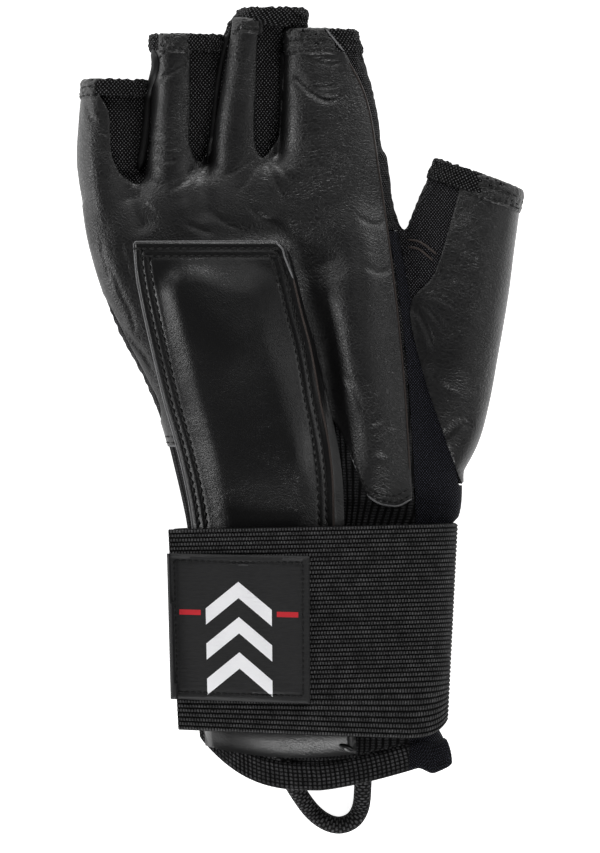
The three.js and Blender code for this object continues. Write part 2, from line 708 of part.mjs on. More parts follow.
function buildGlove() {
  const glove = new THREE.Group();
  const { pieces, side } = shellPieces();
  const band = wristBand();
  [pieces.gusset_hem, pieces.cuff_hem] = cutOut(band, block(side, -2), block(side, -2, 60, SEAM));
  for (const [name, finger] of Object.entries(FINGERS)) pieces[`${name}_hem`] = hemOf(finger);
  pieces.thumb_hem = hemOf(THUMB);
  pieces.splint_cover = splintCover();
  pieces.wrist_strap = wristStrap();
  pieces.strap_label = strapLabel();
  pieces.pull_loop = pullLoop();
  for (const [name, made] of Object.entries(pieces)) glove.add(meshOf(name, largest(made)));
  return centred(glove);
}

export default buildGlove();
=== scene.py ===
"""Dresses a right-hand wrist guard glove that lies palm up.

The part's solids give way to leather, knit, a ribbed cuff, a padded splint cover and a woven strap.
"""

import sys
import logging
import math
from dataclasses import dataclass, field
from enum import Enum
from typing import Callable, Iterable, Optional, Sequence

import bpy
import numpy as np
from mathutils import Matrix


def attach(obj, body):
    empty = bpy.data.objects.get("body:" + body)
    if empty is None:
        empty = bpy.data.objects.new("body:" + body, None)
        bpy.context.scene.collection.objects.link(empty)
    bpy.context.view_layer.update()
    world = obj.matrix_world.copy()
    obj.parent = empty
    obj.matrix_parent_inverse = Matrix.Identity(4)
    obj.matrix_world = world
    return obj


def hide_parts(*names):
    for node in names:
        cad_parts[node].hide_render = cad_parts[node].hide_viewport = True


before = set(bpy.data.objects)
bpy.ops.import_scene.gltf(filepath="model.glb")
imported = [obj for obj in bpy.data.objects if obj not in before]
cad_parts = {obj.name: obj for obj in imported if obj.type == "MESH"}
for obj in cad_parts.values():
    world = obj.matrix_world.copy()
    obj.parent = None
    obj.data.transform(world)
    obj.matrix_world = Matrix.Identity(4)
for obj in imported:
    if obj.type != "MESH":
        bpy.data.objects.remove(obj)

MM = 0.001
LOG = logging.getLogger("glove")
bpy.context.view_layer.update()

Array = np.ndarray
Piece = bpy.types.Object
Socket = bpy.types.NodeSocket
Place = Callable[[Array, Array], Array]

# Where rays that look for a surface start, in metres above the floor
ABOVE = 0.08
# The pieces that have their finish, by name
DRESSED: dict[str, Piece] = {}


# Curves and tables, all in millimetres


class Table:
    """Named columns over one running column, read on a smooth curve through the rows."""

    def __init__(self, columns: str, *rows: Sequence[float]) -> None:
        """Sorts the rows by the first column.

        Args:
            columns: the columns' names, the running one first.
            rows: one value for each column.
        """
        data = np.array(sorted(rows), float)
        names = columns.split()
        self.key = data[:, 0]
        self.columns = {name: data[:, i] for i, name in enumerate(names) if i}

    def at(self, name: str, key: Array | float) -> Array:
        """Reads a column.

        Args:
            name: the column.
            key: where along the running column.

        Returns:
            The column's value there.
        """
        values = self.columns[name]
        slopes = np.empty_like(values)
        slopes[1:-1] = (values[2:] - values[:-2]) / (self.key[2:] - self.key[:-2])
        slopes[0] = (values[1] - values[0]) / (self.key[1] - self.key[0])
        slopes[-1] = (values[-1] - values[-2]) / (self.key[-1] - self.key[-2])
        i = np.clip(np.searchsorted(self.key, key, side="right") - 1, 0, len(self.key) - 2)
        span = self.key[i + 1] - self.key[i]
        t = np.clip((key - self.key[i]) / span, -0.5, 1.5)
        return (
            (2 * t**3 - 3 * t**2 + 1) * values[i]
            + (t**3 - 2 * t**2 + t) * slopes[i] * span
            + (3 * t**2 - 2 * t**3) * values[i + 1]
            + (t**3 - t**2) * slopes[i + 1] * span
        )


def smooth_step(value: Array | float, low: float, high: float) -> Array:
    """Rises softly from 0 at low to 1 at high."""
    t = np.clip((value - low) / (high - low), 0, 1)
    return t * t * (3 - 2 * t)


def smooth_line(points: Sequence[Sequence[float]], spacing: float = 1.0, closed: bool = False) -> Array:
    """Runs a smooth curve through points.

    Args:
        points: the points, in the plane or in space.
        spacing: the step between the returned points.
        closed: whether the curve runs back to its first point.

    Returns:
        Evenly spaced points on the curve, both ends included unless it is closed.
    """
    knots = np.array(points, float)
    if closed:
        knots = np.vstack([knots[-1:], knots, knots[:2]])
    else:
        knots = np.vstack([2 * knots[:1] - knots[1:2], knots, 2 * knots[-1:] - knots[-2:-1]])
    t = np.linspace(0, 1, 33)[:-1, None]
    pieces = []
    for p0, p1, p2, p3 in zip(knots, knots[1:], knots[2:], knots[3:]):
        bend = 2 * p0 - 5 * p1 + 4 * p2 - p3
        twist = 3 * p1 - p0 - 3 * p2 + p3
        pieces.append(0.5 * (2 * p1 + (p2 - p0) * t + bend * t**2 + twist * t**3))
    dense = np.vstack(pieces + [knots[-2:-1]])
    lengths = np.r_[0, np.cumsum(np.linalg.norm(np.diff(dense, axis=0), axis=1))]
    count = max(2, round(lengths[-1] / spacing))
    marks = np.linspace(0, lengths[-1], count + 1)
    if closed:
        marks = marks[:-1]
    return np.stack([np.interp(marks, lengths, dense[:, k]) for k in range(knots.shape[1])], axis=1)


def line_distance(points: Array, line: Array) -> tuple[Array, Array]:
    """Measures how far points are from a line of short pieces.

    Args:
        points: the points, one row each.
        line: the line's own points.

    Returns:
        Each point's distance, and where along the line it is nearest, from 0 to 1.
    """
    best = np.full(len(points), 1e9)
    where = np.zeros(len(points))
    steps = len(line) - 1
    for i in range(steps):
        a, b = line[i], line[i + 1]
        along = b - a
        t = np.clip(((points - a) @ along) / max(along @ along, 1e-9), 0, 1)
        away = np.linalg.norm(points - (a + t[:, None] * along), axis=1)
        nearer = away < best
        best[nearer] = away[nearer]
        where[nearer] = (i + t[nearer]) / steps
    return best, where


def area_of(outline: Array) -> float:
    """Returns an outline's signed area."""
    after = np.roll(outline, -1, axis=0)
    return float(np.sum(outline[:, 0] * after[:, 1] - after[:, 0] * outline[:, 1]) / 2)


def grown(outline: Array, grow: float) -> Array:
    """Moves an outline outwards by grow.

    Args:
        outline: its points.
        grow: how far it moves.

    Returns:
        The moved points.
    """
    side = 1 if area_of(outline) > 0 else -1
    along = np.roll(outline, -1, axis=0) - np.roll(outline, 1, axis=0)
    along /= np.linalg.norm(along, axis=1, keepdims=True)
    return outline + side * grow * np.stack([along[:, 1], -along[:, 0]], axis=1)


def soft_noise(points: Array, size: float, seed: int) -> Array:
    """Sums a few seeded waves into a smooth uneven field.

    Args:
        points: where the field is read.
        size: how far apart its bumps are.
        seed: which field.

    Returns:
        A value of about -1 to 1 for each point.
    """
    draw = np.random.default_rng(seed)
    total = np.zeros(len(points))
    for _ in range(14):
        direction = draw.normal(size=points.shape[1])
        direction *= draw.uniform(0.5, 1.3) * 2 * math.pi / size / np.linalg.norm(direction)
        total += np.sin(points @ direction + draw.uniform(0, 2 * math.pi))
    return total / 3.4


# The glove's form, the same tables as the part's source


TRUNK = Table(
    "y left right top rest",
    (-130, -31.5, 48.6, 21.0, 3.1),
    (-116, -31.5, 47.5, 22.0, 3.1),
    (-106, -31.6, 43.8, 22.5, 2.9),
    (-75, -33.5, 45.5, 23.0, 2.4),
    (-50, -35.2, 46.5, 23.4, 2.4),
    (-42, -36.2, 46.9, 23.6, 2.2),
    (-37.5, -36.9, 50.9, 24.0, 1.6),
    (-23, -40.2, 51.8, 25.0, 0.4),
    (-8, -44.2, 51.5, 26.0, 0.0),
    (6, -49.8, 49.5, 27.0, 0.0),
    (20, -57.3, 45.0, 27.5, 0.0),
    (34, -62.9, 39.5, 27.0, 0.0),
    (50, -67.6, 34.0, 25.0, 0.0),
    (64, -69.8, 29.0, 22.0, 0.0),
    (78, -70.6, 26.5, 19.0, 0.0),
)
# Soft bumps and dents of the palm: middle, half sizes, lift
RELIEF = (
    (19, 22, 11, 42, 4.2),
    (27, -18, 8, 20, 2.4),
    (2, 62, 13, 16, 2.4),
    (9, 6, 4, 26, -2.2),
    (-38, 64, 18, 12, 1.4),
)
ROOT_LINE = {"y": 75.5, "at_x": -14, "slope": 0.16}
WRIST_LINE = {"y": -125, "at_x": 6, "left": 0.0003, "right": 0.075, "back_y": -119, "back_share": 0.6}
TAB = {"from": 37, "to": 43, "droop": 3.6}
HEM_BAND = 9.0
WRIST_ROW = -112
BOXINESS = 2.5
PRESS = 1.6
FRONT_Z = 9.5
GUSSET_Z = 3.4


def oval(half_width: float, half_height: float, sides: int, press: float = 0) -> Array:
    """Makes a boxy oval's outline, from its +X point over +Z, as offsets across and up."""
    angle = 2 * np.pi * np.arange(sides) / sides
    across, up = (np.sign(v) * np.abs(v) ** (2 / BOXINESS) for v in (np.cos(angle), np.sin(angle)))
    tall = np.where(np.sin(angle) < 0, half_height + press, half_height)
    return np.stack([half_width * across, tall * up], axis=1)


def relief_at(x: Array, y: Array | float) -> Array:
    """Returns how far the palm's soft bumps and dents lift it."""
    return sum(h * np.exp(-(((x - cx) / sx) ** 2) - (((y - cy) / sy) ** 2)) for cx, cy, sx, sy, h in RELIEF)


def trunk_ring(y: float, inset: float = 0, sides: int = 120) -> Array:
    """Makes one ring of the hand and wrist tube.

    Args:
        y: its place along the glove.
        inset: how far it is taken in from the outer surface.
        sides: its number of points.

    Returns:
        The ring's points.
    """
    left, right, top, rest = (float(TRUNK.at(name, y)) for name in ("left", "right", "top", "rest"))
    half = (top - rest) / 2
    flat = oval((right - left) / 2 - inset, half - inset, sides, PRESS)
    x = (left + right) / 2 + flat[:, 0]
    share = np.maximum(0, flat[:, 1] / half)
    z = np.maximum(rest + inset, rest + half + flat[:, 1] + relief_at(x, y) * np.sqrt(share))
    return np.stack([x, np.full(sides, float(y)), z], axis=1)


def wrist_end(x: Array, height: Array) -> Array:
    """Returns where the wrist end lies across the tube and up it.

    Args:
        x: where across the glove.
        height: the share of the tube's height.

    Returns:
        The Y of the wrist end.
    """
    away = x - WRIST_LINE["at_x"]
    arc = np.where(
        away < 0, WRIST_LINE["left"] * np.abs(away) ** 3, WRIST_LINE["right"] * np.maximum(away, 0) ** 1.3
    )
    rise = arc - TAB["droop"] * smooth_step(x, TAB["from"], TAB["to"])
    front = WRIST_LINE["y"] + rise
    back = WRIST_LINE["back_y"] + WRIST_LINE["back_share"] * rise
    return height * front + (1 - height) * back


def ring_height(ring: Array) -> Array:
    """Returns each point's share of its ring's height."""
    low, high = ring[:, 2].min(), ring[:, 2].max()
    return (ring[:, 2] - low) / (high - low)


@dataclass(frozen=True)
class Digit:
    """One open finger or thumb tube.

    Attributes:
        name: the finger's name.
        band: the length of its hem.
        roll: how far it is rolled about its own axis.
        shape: its axis and half sizes along Y.
    """

    name: str
    band: float
    roll: float
    shape: Table

    @property
    def root(self) -> float:
        """The Y at which the tube starts, inside the hand."""
        return float(self.shape.key[0])

    @property
    def tip(self) -> float:
        """The Y of the tube's open end."""
        return float(self.shape.key[-1])

    def ring(self, y: float, inset: float = 0, sides: int = 72) -> Array:
        """Makes one ring of the tube, taken in by inset.

        Args:
            y: its place along the finger.
            inset: how far it is taken in.
            sides: its number of points.

        Returns:
            The ring's points.
        """
        x, z, half_width, half_height, lean = (
            float(self.shape.at(name, y)) for name in ("x", "z", "half_width", "half_height", "lean")
        )
        flat = oval(half_width - inset, half_height - inset, sides)
        across = flat[:, 0] * math.cos(self.roll) + flat[:, 1] * math.sin(self.roll)
        up = z + flat[:, 1] * math.cos(self.roll) - flat[:, 0] * math.sin(self.roll)
        up = np.maximum(up, max(inset, 0))
        return np.stack([x + across * math.cos(lean), y - across * math.sin(lean), up], axis=1)


DIGIT_COLUMNS = "y x z half_width half_height lean"
LITTLE = Digit("little", 5, 0.3, Table(
    DIGIT_COLUMNS, (52, -58.0, 9.8, 9.0, 9.6, 0), (74, -61.2, 9.6, 9.7, 9.6, 0),
    (88, -60.5, 9.2, 10.1, 9.2, 0), (102, -59.3, 8.8, 10.0, 8.6, 0),
))
RING = Digit("ring", 5, 0.3, Table(
    DIGIT_COLUMNS, (54, -40.0, 10.2, 9.6, 10.2, 0), (76, -40.3, 10.0, 9.7, 10.0, 0),
    (98, -37.3, 9.6, 10.5, 9.6, 0), (116.4, -36.4, 9.2, 11.4, 9.0, 0),
))
MIDDLE = Digit("middle", 5, 0.3, Table(
    DIGIT_COLUMNS, (56, -18.0, 10.4, 10.6, 10.4, 0), (80, -18.2, 10.2, 10.9, 10.2, 0),
    (104, -15.7, 9.8, 10.0, 9.8, 0), (118.2, -14.5, 9.4, 9.3, 9.4, 0),
    (121.8, -9.6, 9.2, 11.2, 9.2, 0), (125, -9.0, 9.0, 9.8, 9.0, 0),
))
INDEX = Digit("index", 7.2, 0.06, Table(
    DIGIT_COLUMNS, (52, 10.0, 11.0, 16.0, 11.0, 0), (72, 9.6, 11.0, 16.4, 11.2, 0),
    (88, 9.6, 11.0, 15.5, 11.0, 0), (100, 8.7, 10.8, 14.0, 10.0, 0), (118, 6.2, 10.4, 11.2, 9.8, 0),
))
THUMB = Digit("thumb", 6, -0.12, Table(
    DIGIT_COLUMNS, (-27, 37.5, 12.0, 11.4, 7.5, 0.1), (-13, 40.4, 12.2, 16.0, 9.6, 0.1),
    (0, 42.4, 12.4, 17.6, 11.0, 0.12), (16, 44.5, 12.6, 18.4, 12.0, 0.16), (36, 48.0, 12.8, 18.4, 12.2, 0.22),
    (54, 51.9, 12.8, 17.0, 11.8, 0.3), (71.7, 57.2, 12.8, 14.4, 10.8, 0.36),
))
FINGERS = (LITTLE, RING, MIDDLE, INDEX)
MIDDLE_FRONT = Digit("middle", 4, 0.3, Table(
    DIGIT_COLUMNS, (104, -15.9, 9.8, 9.8, 9.8, 0), (118.2, -15.2, 9.4, 8.8, 9.4, 0),
    (124, -15.8, 9.2, 7.8, 9.2, 0),
))

# Leather fronts of the fingers: tip, left and right edge at the tip, left edge at root_y
FRONTS = (
    (97.0, -80.0, -64.2, -80.0, 77),
    (111.4, -47.6, -35.2, -47.9, 81),
    (120.0, -21.6, -13.6, -28.2, 82),
    (110.6, -6.4, 14.2, -7.0, 83),
)
# The leather's edge between two fingers
CROTCHES = (
    ((-61.0, 90.5), (-60.4, 79.5), (-58.0, 72.6), (-53.6, 69.0), (-50.2, 69.6)),
    ((-35.2, 91.1), (-35.2, 81.0), (-32.2, 75.6)),
    ((-14.3, 94.7), (-14.6, 82.0), (-12.0, 76.8)),
)
PALM_THUMB_SIDE = (
    (14.2, 110.6), (21.4, 95.5), (25.4, 73.0), (29.4, 44.0), (33.2, 8.0), (35.4, -26.0), (35.6, -32.6),
)
PALM_HEEL = (
    (35.6, -32.6), (30.0, -34.8), (22.0, -31.6), (16.2, -18.6), (8.0, -5.0), (-12.0, 0.0), (-30.0, -8.0),
    (-37.5, -15.6),
)
PALM_OUTER_SIDE = (
    (-46.5, -15.2), (-44.6, -4.0), (-48.2, 5.0), (-54.6, 17.4), (-61.6, 31.0), (-70.0, 43.0), (-80.0, 62.0),
)
THUMB_LEATHER = (
    (52.6, 75.6), (49.4, 62.0), (42.6, 40.0), (34.9, 29.4), (39.0, 8.0), (46.4, -14.0), (51.4, -27.0),
)
GUSSET_EDGE = (
    (27.6, 53.6), (30.2, 41.0), (34.0, 8.0), (36.2, -26.0), (36.4, -40.0), (35.4, -75.0), (34.4, -130.0),
)
COVER_ROWS = Table(
    "y left right",
    (50.2, -53.4, -4.6), (41.0, -52.9, -1.9), (28.0, -50.5, 1.4), (15.5, -47.7, 5.0), (0.0, -44.1, 8.4),
    (-13.3, -40.4, 11.6), (-26.0, -37.3, 13.4), (-41.0, -34.8, 14.0), (-75.0, -32.5, 16.0),
    (-113.0, -30.4, 17.8),
)
COVER = {"lift": 0.6, "flange": 2.4, "wrist_rise": 1.6, "left_corner": 1.8, "right_corner": 5.4}
STRAP = {"thick": 1.8, "top": -41.6, "bottom": -105, "taper": 0.93, "axis_x": 4, "bow": 4.6, "tilt": 0.02}
STRAP_ROUTE = (
    (4, 30.0), (-12, 30.2), (-28, 29.6), (-37.6, 25.4), (-40.4, 15.5), (-37.0, 5.0), (-27.0, 0.9),
    (-5.0, 0.9), (16.0, 0.9), (38.0, 0.9), (47.4, 4.6), (49.5, 12.5), (48.2, 21.0), (42.0, 27.0),
    (30.0, 30.4), (14.0, 32.2), (-4.0, 32.6), (-20.0, 32.4), (-34.0, 31.8), (-41.9, 30.6),
)
LABEL_CORNERS = ((-42.4, -49.2), (2.9, -50.0), (3.1, -96.9), (-41.2, -95.4))
LABEL_SIDE = 45

# The cuff's axis, its shape and its radius, for the places in its knit
CUFF = {"axis_x": 6, "axis_z": 12, "flat": 1.6, "radius": 31}
LOOP_ROUTE = (
    (-6.6, -111.0, 8.2), (-5.4, -118.0, 8.2), (-2.2, -124.0, 6.4), (3.0, -131.7, 3.2), (7.8, -135.7, 2.9),
    (12.6, -137.0, 2.9), (17.0, -135.2, 2.9), (19.4, -130.9, 3.2), (20.0, -124.0, 6.4), (20.0, -118.0, 8.2),
    (19.6, -111.0, 8.2),
)
LOOP_DIAMETER = 5.6


def palm_outline() -> Array:
    """Draws the palm leather with its four finger fronts, seen from above.

    Returns:
        The outline's points.
    """
    parts = []
    for i, (tip, tip_left, tip_right, root_left, root_y) in enumerate(FRONTS):
        middle = ((root_left + tip_left) / 2, (root_y + tip) / 2)
        parts.append(np.array([(root_left, root_y), middle, (tip_left, tip)], float))
        if i + 1 == len(FRONTS):
            break
        parts.append(smooth_line(((tip_right, tip), *CROTCHES[i], FRONTS[i + 1][3:])))
    parts += [smooth_line(line) for line in (PALM_THUMB_SIDE, PALM_HEEL, PALM_OUTER_SIDE)]
    outline = np.vstack(parts)
    keep = np.linalg.norm(outline - np.roll(outline, 1, axis=0), axis=1) > 0.3
    return outline[keep]


def gusset_outline() -> Array:
    """Draws the side gusset, seen from above and open to the glove's thumb side."""
    return np.vstack([smooth_line(GUSSET_EDGE, 4), [(84, -130), (84, 53.6)]])


# Hands on the mesh: short names for the operators that every piece goes through


def deselect_all() -> None:
    """Leaves edit mode and clears the selection."""
    if bpy.context.object and bpy.context.object.mode != "OBJECT":
        bpy.ops.object.mode_set(mode="OBJECT")
    bpy.ops.object.select_all(action="DESELECT")


def pick(*pieces: Piece) -> None:
    """Selects the pieces alone, the first one active."""
    deselect_all()
    for piece in pieces:
        piece.select_set(True)
    bpy.context.view_layer.objects.active = pieces[0]


def points_of(piece: Piece) -> Array:
    """Reads a piece's points in millimetres.

    Args:
        piece: the piece.

    Returns:
        One row for each point.
    """
    flat = np.empty(len(piece.data.vertices) * 3)
    piece.data.vertices.foreach_get("co", flat)
    return flat.reshape(-1, 3) / MM


def normals_of(piece: Piece) -> Array:
    """Reads a piece's point normals.

    Args:
        piece: the piece.

    Returns:
        One row for each point.
    """
    flat = np.empty(len(piece.data.vertices) * 3)
    piece.data.vertex_normals.foreach_get("vector", flat)
    return flat.reshape(-1, 3)


def place_points(piece: Piece, points: Array) -> None:
    """Moves a piece's points to places in millimetres."""
    piece.data.vertices.foreach_set("co", (points * MM).ravel())
    piece.data.update()


def in_edit(piece: Piece, work: Callable[[], None]) -> None:
    """Does some work on the whole piece in edit mode.

    Args:
        piece: the piece.
        work: what is done.
    """
    pick(piece)
    bpy.ops.object.mode_set(mode="EDIT")
    bpy.ops.mesh.select_all(action="SELECT")
    work()
    bpy.ops.object.mode_set(mode="OBJECT")


def weld(piece: Piece, gap: float = 0.01) -> None:
    """Merges the piece's close points, closes its ends and turns its faces outwards.

    Args:
        piece: the piece.
        gap: how far apart merged points may lie.
    """

    def work() -> None:
        """Merges, closes and turns the mesh."""
        bpy.ops.mesh.remove_doubles(threshold=gap * MM)
        bpy.ops.mesh.fill_holes(sides=0)
        bpy.ops.mesh.select_all(action="SELECT")
        bpy.ops.mesh.normals_make_consistent(inside=False)

    in_edit(piece, work)


def mark(piece: Piece, values: Array) -> None:
    """Keeps each point's place in the cloth in millimetres, or its grain, instead of older marks."""
    kept = piece.data.attributes.get("lay")
    if kept is not None:
        piece.data.attributes.remove(kept)
    attribute = piece.data.attributes.new("lay", "FLOAT_VECTOR", "POINT")
    attribute.data.foreach_set("vector", values.ravel())


def mark_grain(piece: Piece, strength: Array) -> None:
    """Keeps how strong the leather's grain is at each point, from 0 to 1."""
    mark(piece, np.column_stack([strength, 0 * strength, 0 * strength]))


def grid_piece(
    name: str, columns: int, rows: int, place: Place, closed: bool = True, lay: Optional[Place] = None
) -> Piece:
    """Adds a grid and lays it over a surface.

    Args:
        name: the piece's name.
        columns: faces along the first direction.
        rows: faces along the second direction.
        place: gives the points for two arrays of shares from 0 to 1.
        closed: whether its edges meet and its ends are closed.
        lay: gives the points' places in the cloth.

    Returns:
        The piece.
    """
    deselect_all()
    bpy.ops.mesh.primitive_grid_add(x_subdivisions=columns, y_subdivisions=rows, size=1, calc_uvs=True)
    piece = bpy.context.object
    piece.name = piece.data.name = name
    flat = points_of(piece) * MM + 0.5
    place_points(piece, place(flat[:, 0], flat[:, 1]))
    if lay is not None:
        mark(piece, lay(flat[:, 0], flat[:, 1]))
    if closed:
        weld(piece)
    return piece


def lay_of(rings: Array, ends: int) -> Place:
    """Measures along and across rings, so that a finish can follow them.

    Args:
        rings: the rings of points.
        ends: how many steps the rings have from first to last.

    Returns:
        The places in the cloth for two arrays of shares.
    """
    sides = rings.shape[1]
    loops = np.concatenate([rings, rings[:1]]) if ends == len(rings) else rings
    along = np.r_[0, np.cumsum(np.linalg.norm(np.diff(loops, axis=0), axis=2).mean(axis=1))]
    middle = np.concatenate([rings, rings[:, :1]], axis=1)[len(rings) // 2]
    around = np.r_[0, np.cumsum(np.linalg.norm(np.diff(middle, axis=0), axis=1))]

    def lay(u: Array, v: Array) -> Array:
        """Gives each grid point its place round and along the tube."""
        i = np.rint(u * sides).astype(int)
        j = np.rint(v * ends).astype(int)
        return np.stack([around[i], along[j], np.zeros(len(u))], axis=1)

    return lay


def tube_piece(name: str, rings: Array) -> Piece:
    """Makes a closed tube through rings of points.

    Args:
        name: the piece's name.
        rings: the rings.

    Returns:
        The piece.
    """
    rows, sides = rings.shape[:2]

    def place(u: Array, v: Array) -> Array:
        """Puts each grid point on its ring."""
        i = np.rint(u * sides).astype(int) % sides
        j = np.rint(v * (rows - 1)).astype(int)
        return rings[j, i]

    return grid_piece(name, sides, rows - 1, place, lay=lay_of(rings, rows - 1))


def hoop_piece(name: str, rings: Array) -> Piece:
    """Makes a band from rings that run round its section, the last one meeting the first.

    Args:
        name: the piece's name.
        rings: the rings.

    Returns:
        The piece.
    """
    rows, sides = rings.shape[:2]

    def place(u: Array, v: Array) -> Array:
        """Puts each grid point on its ring."""
        i = np.rint(u * sides).astype(int) % sides
        j = np.rint(v * rows).astype(int) % rows
        return rings[j, i]

    return grid_piece(name, sides, rows, place, lay=lay_of(rings, rows))


def sweep(name: str, route: Array, radius: Array | float, sides: int) -> Piece:
    """Sweeps a round section along a route.

    Args:
        name: the piece's name.
        route: the section's middle points.
        radius: its radius, one for all points or one for each.
        sides: its number of sides.

    Returns:
        The piece.
    """
    along = np.gradient(route, axis=0)
    along /= np.linalg.norm(along, axis=1, keepdims=True)
    side = np.cross(along, np.array([0, 0, 1.0]))
    side /= np.maximum(np.linalg.norm(side, axis=1, keepdims=True), 1e-6)
    up = np.cross(side, along)
    angle = 2 * np.pi * np.arange(sides) / sides
    reach = np.broadcast_to(radius, len(route))[:, None, None]
    across = np.cos(angle)[None, :, None] * side[:, None]
    height = np.sin(angle)[None, :, None] * up[:, None]
    return tube_piece(name, route[:, None] + reach * (across + height))


def heights(spots: Array, *names: str) -> Array:
    """Measures how high the highest of the named pieces is at each spot.

    Args:
        spots: the spots, seen from above.
        names: the pieces' names.

    Returns:
        The heights, or -1 beside the pieces.
    """
    bpy.context.view_layer.update()
    result = np.full(len(spots), -1.0)
    for piece in (DRESSED[name] for name in names):
        for i, (x, y) in enumerate(spots):
            hit, place, _, _ = piece.ray_cast((x * MM, y * MM, ABOVE), (0, 0, -1))
            if hit:
                result[i] = max(result[i], place.z / MM)
    return result


def steadied(values: Array, reach: int = 2) -> Array:
    """Smooths a row of values."""
    padded = np.pad(values, reach, mode="edge")
    return np.convolve(padded, np.ones(2 * reach + 1) / (2 * reach + 1), mode="valid")


def copy_of(piece: Piece, name: str) -> Piece:
    """Copies a piece with a mesh of its own.

    Args:
        piece: the piece.
        name: the copy's name.

    Returns:
        The copy.
    """
    made = piece.copy()
    made.data = piece.data.copy()
    made.name = made.data.name = name
    bpy.context.scene.collection.objects.link(made)
    return made


def drop(*pieces: Piece) -> None:
    """Throws away helper pieces."""
    for piece in pieces:
        mesh = piece.data
        bpy.data.objects.remove(piece)
        bpy.data.meshes.remove(mesh)


def modify(piece: Piece, kind: str, **settings: object) -> None:
    """Puts a modifier on a piece and applies it.

    Args:
        piece: the piece.
        kind: the modifier's type.
        settings: its values by name.
    """
    pick(piece)
    modifier = piece.modifiers.new(kind.lower(), kind)
    for key, value in settings.items():
        setattr(modifier, key, value)
    bpy.ops.object.modifier_apply(modifier=modifier.name)


def cut(piece: Piece, tool: Piece, operation: str) -> None:
    """Cuts or joins a piece by another with an exact solid operation."""
    modify(piece, "BOOLEAN", object=tool, operation=operation, solver="MANIFOLD")


def join(*pieces: Piece) -> Piece:
    """Joins pieces into the first one.

    Args:
        pieces: the pieces.

    Returns:
        The joined piece.
    """
    pick(*pieces)
    if len(pieces) > 1:
        bpy.ops.object.join()
    return bpy.context.object


def block(name: str, outline: Array, low: float, high: float = 60) -> Piece:
    """Raises an outline into a straight block.

    Args:
        name: the block's name.
        outline: its points, seen from above.
        low: its floor.
        high: its top.

    Returns:
        The block.
    """
    deselect_all()
    bpy.ops.mesh.primitive_circle_add(vertices=len(outline), radius=1, fill_type="NGON")
    piece = bpy.context.object
    piece.name = name
    order = outline if area_of(outline) > 0 else outline[::-1]
    place_points(piece, np.column_stack([order, np.full(len(order), low)]))

    def work() -> None:
        """Pulls the face up and turns the block's faces outwards."""
        bpy.ops.mesh.extrude_region_move(TRANSFORM_OT_translate={"value": (0, 0, (high - low) * MM)})
        bpy.ops.mesh.select_all(action="SELECT")
        bpy.ops.mesh.normals_make_consistent(inside=False)

    in_edit(piece, work)
    return piece


def smooth_shade(piece: Piece, angle: float = 50) -> None:
    """Shades a piece smoothly but for its sharp edges."""
    pick(piece)
    bpy.ops.object.shade_smooth_by_angle(angle=math.radians(angle))


def soften_rim(piece: Piece, angle: float = 40, rounds: int = 2) -> None:
    """Rounds a cut piece's rim.

    Args:
        piece: the piece.
        angle: how sharp an edge has to be, in degrees.
        rounds: how often it is smoothed.
    """

    def work() -> None:
        """Merges close points and smooths the sharp edges."""
        bpy.ops.mesh.remove_doubles(threshold=0.12 * MM)
        bpy.ops.mesh.select_all(action="DESELECT")
        bpy.ops.mesh.select_mode(type="EDGE")
        bpy.ops.mesh.edges_select_sharp(sharpness=math.radians(angle))
        bpy.ops.mesh.select_mode(type="VERT")
        bpy.ops.mesh.vertices_smooth(factor=0.5, repeat=rounds)

    in_edit(piece, work)


# Finishes


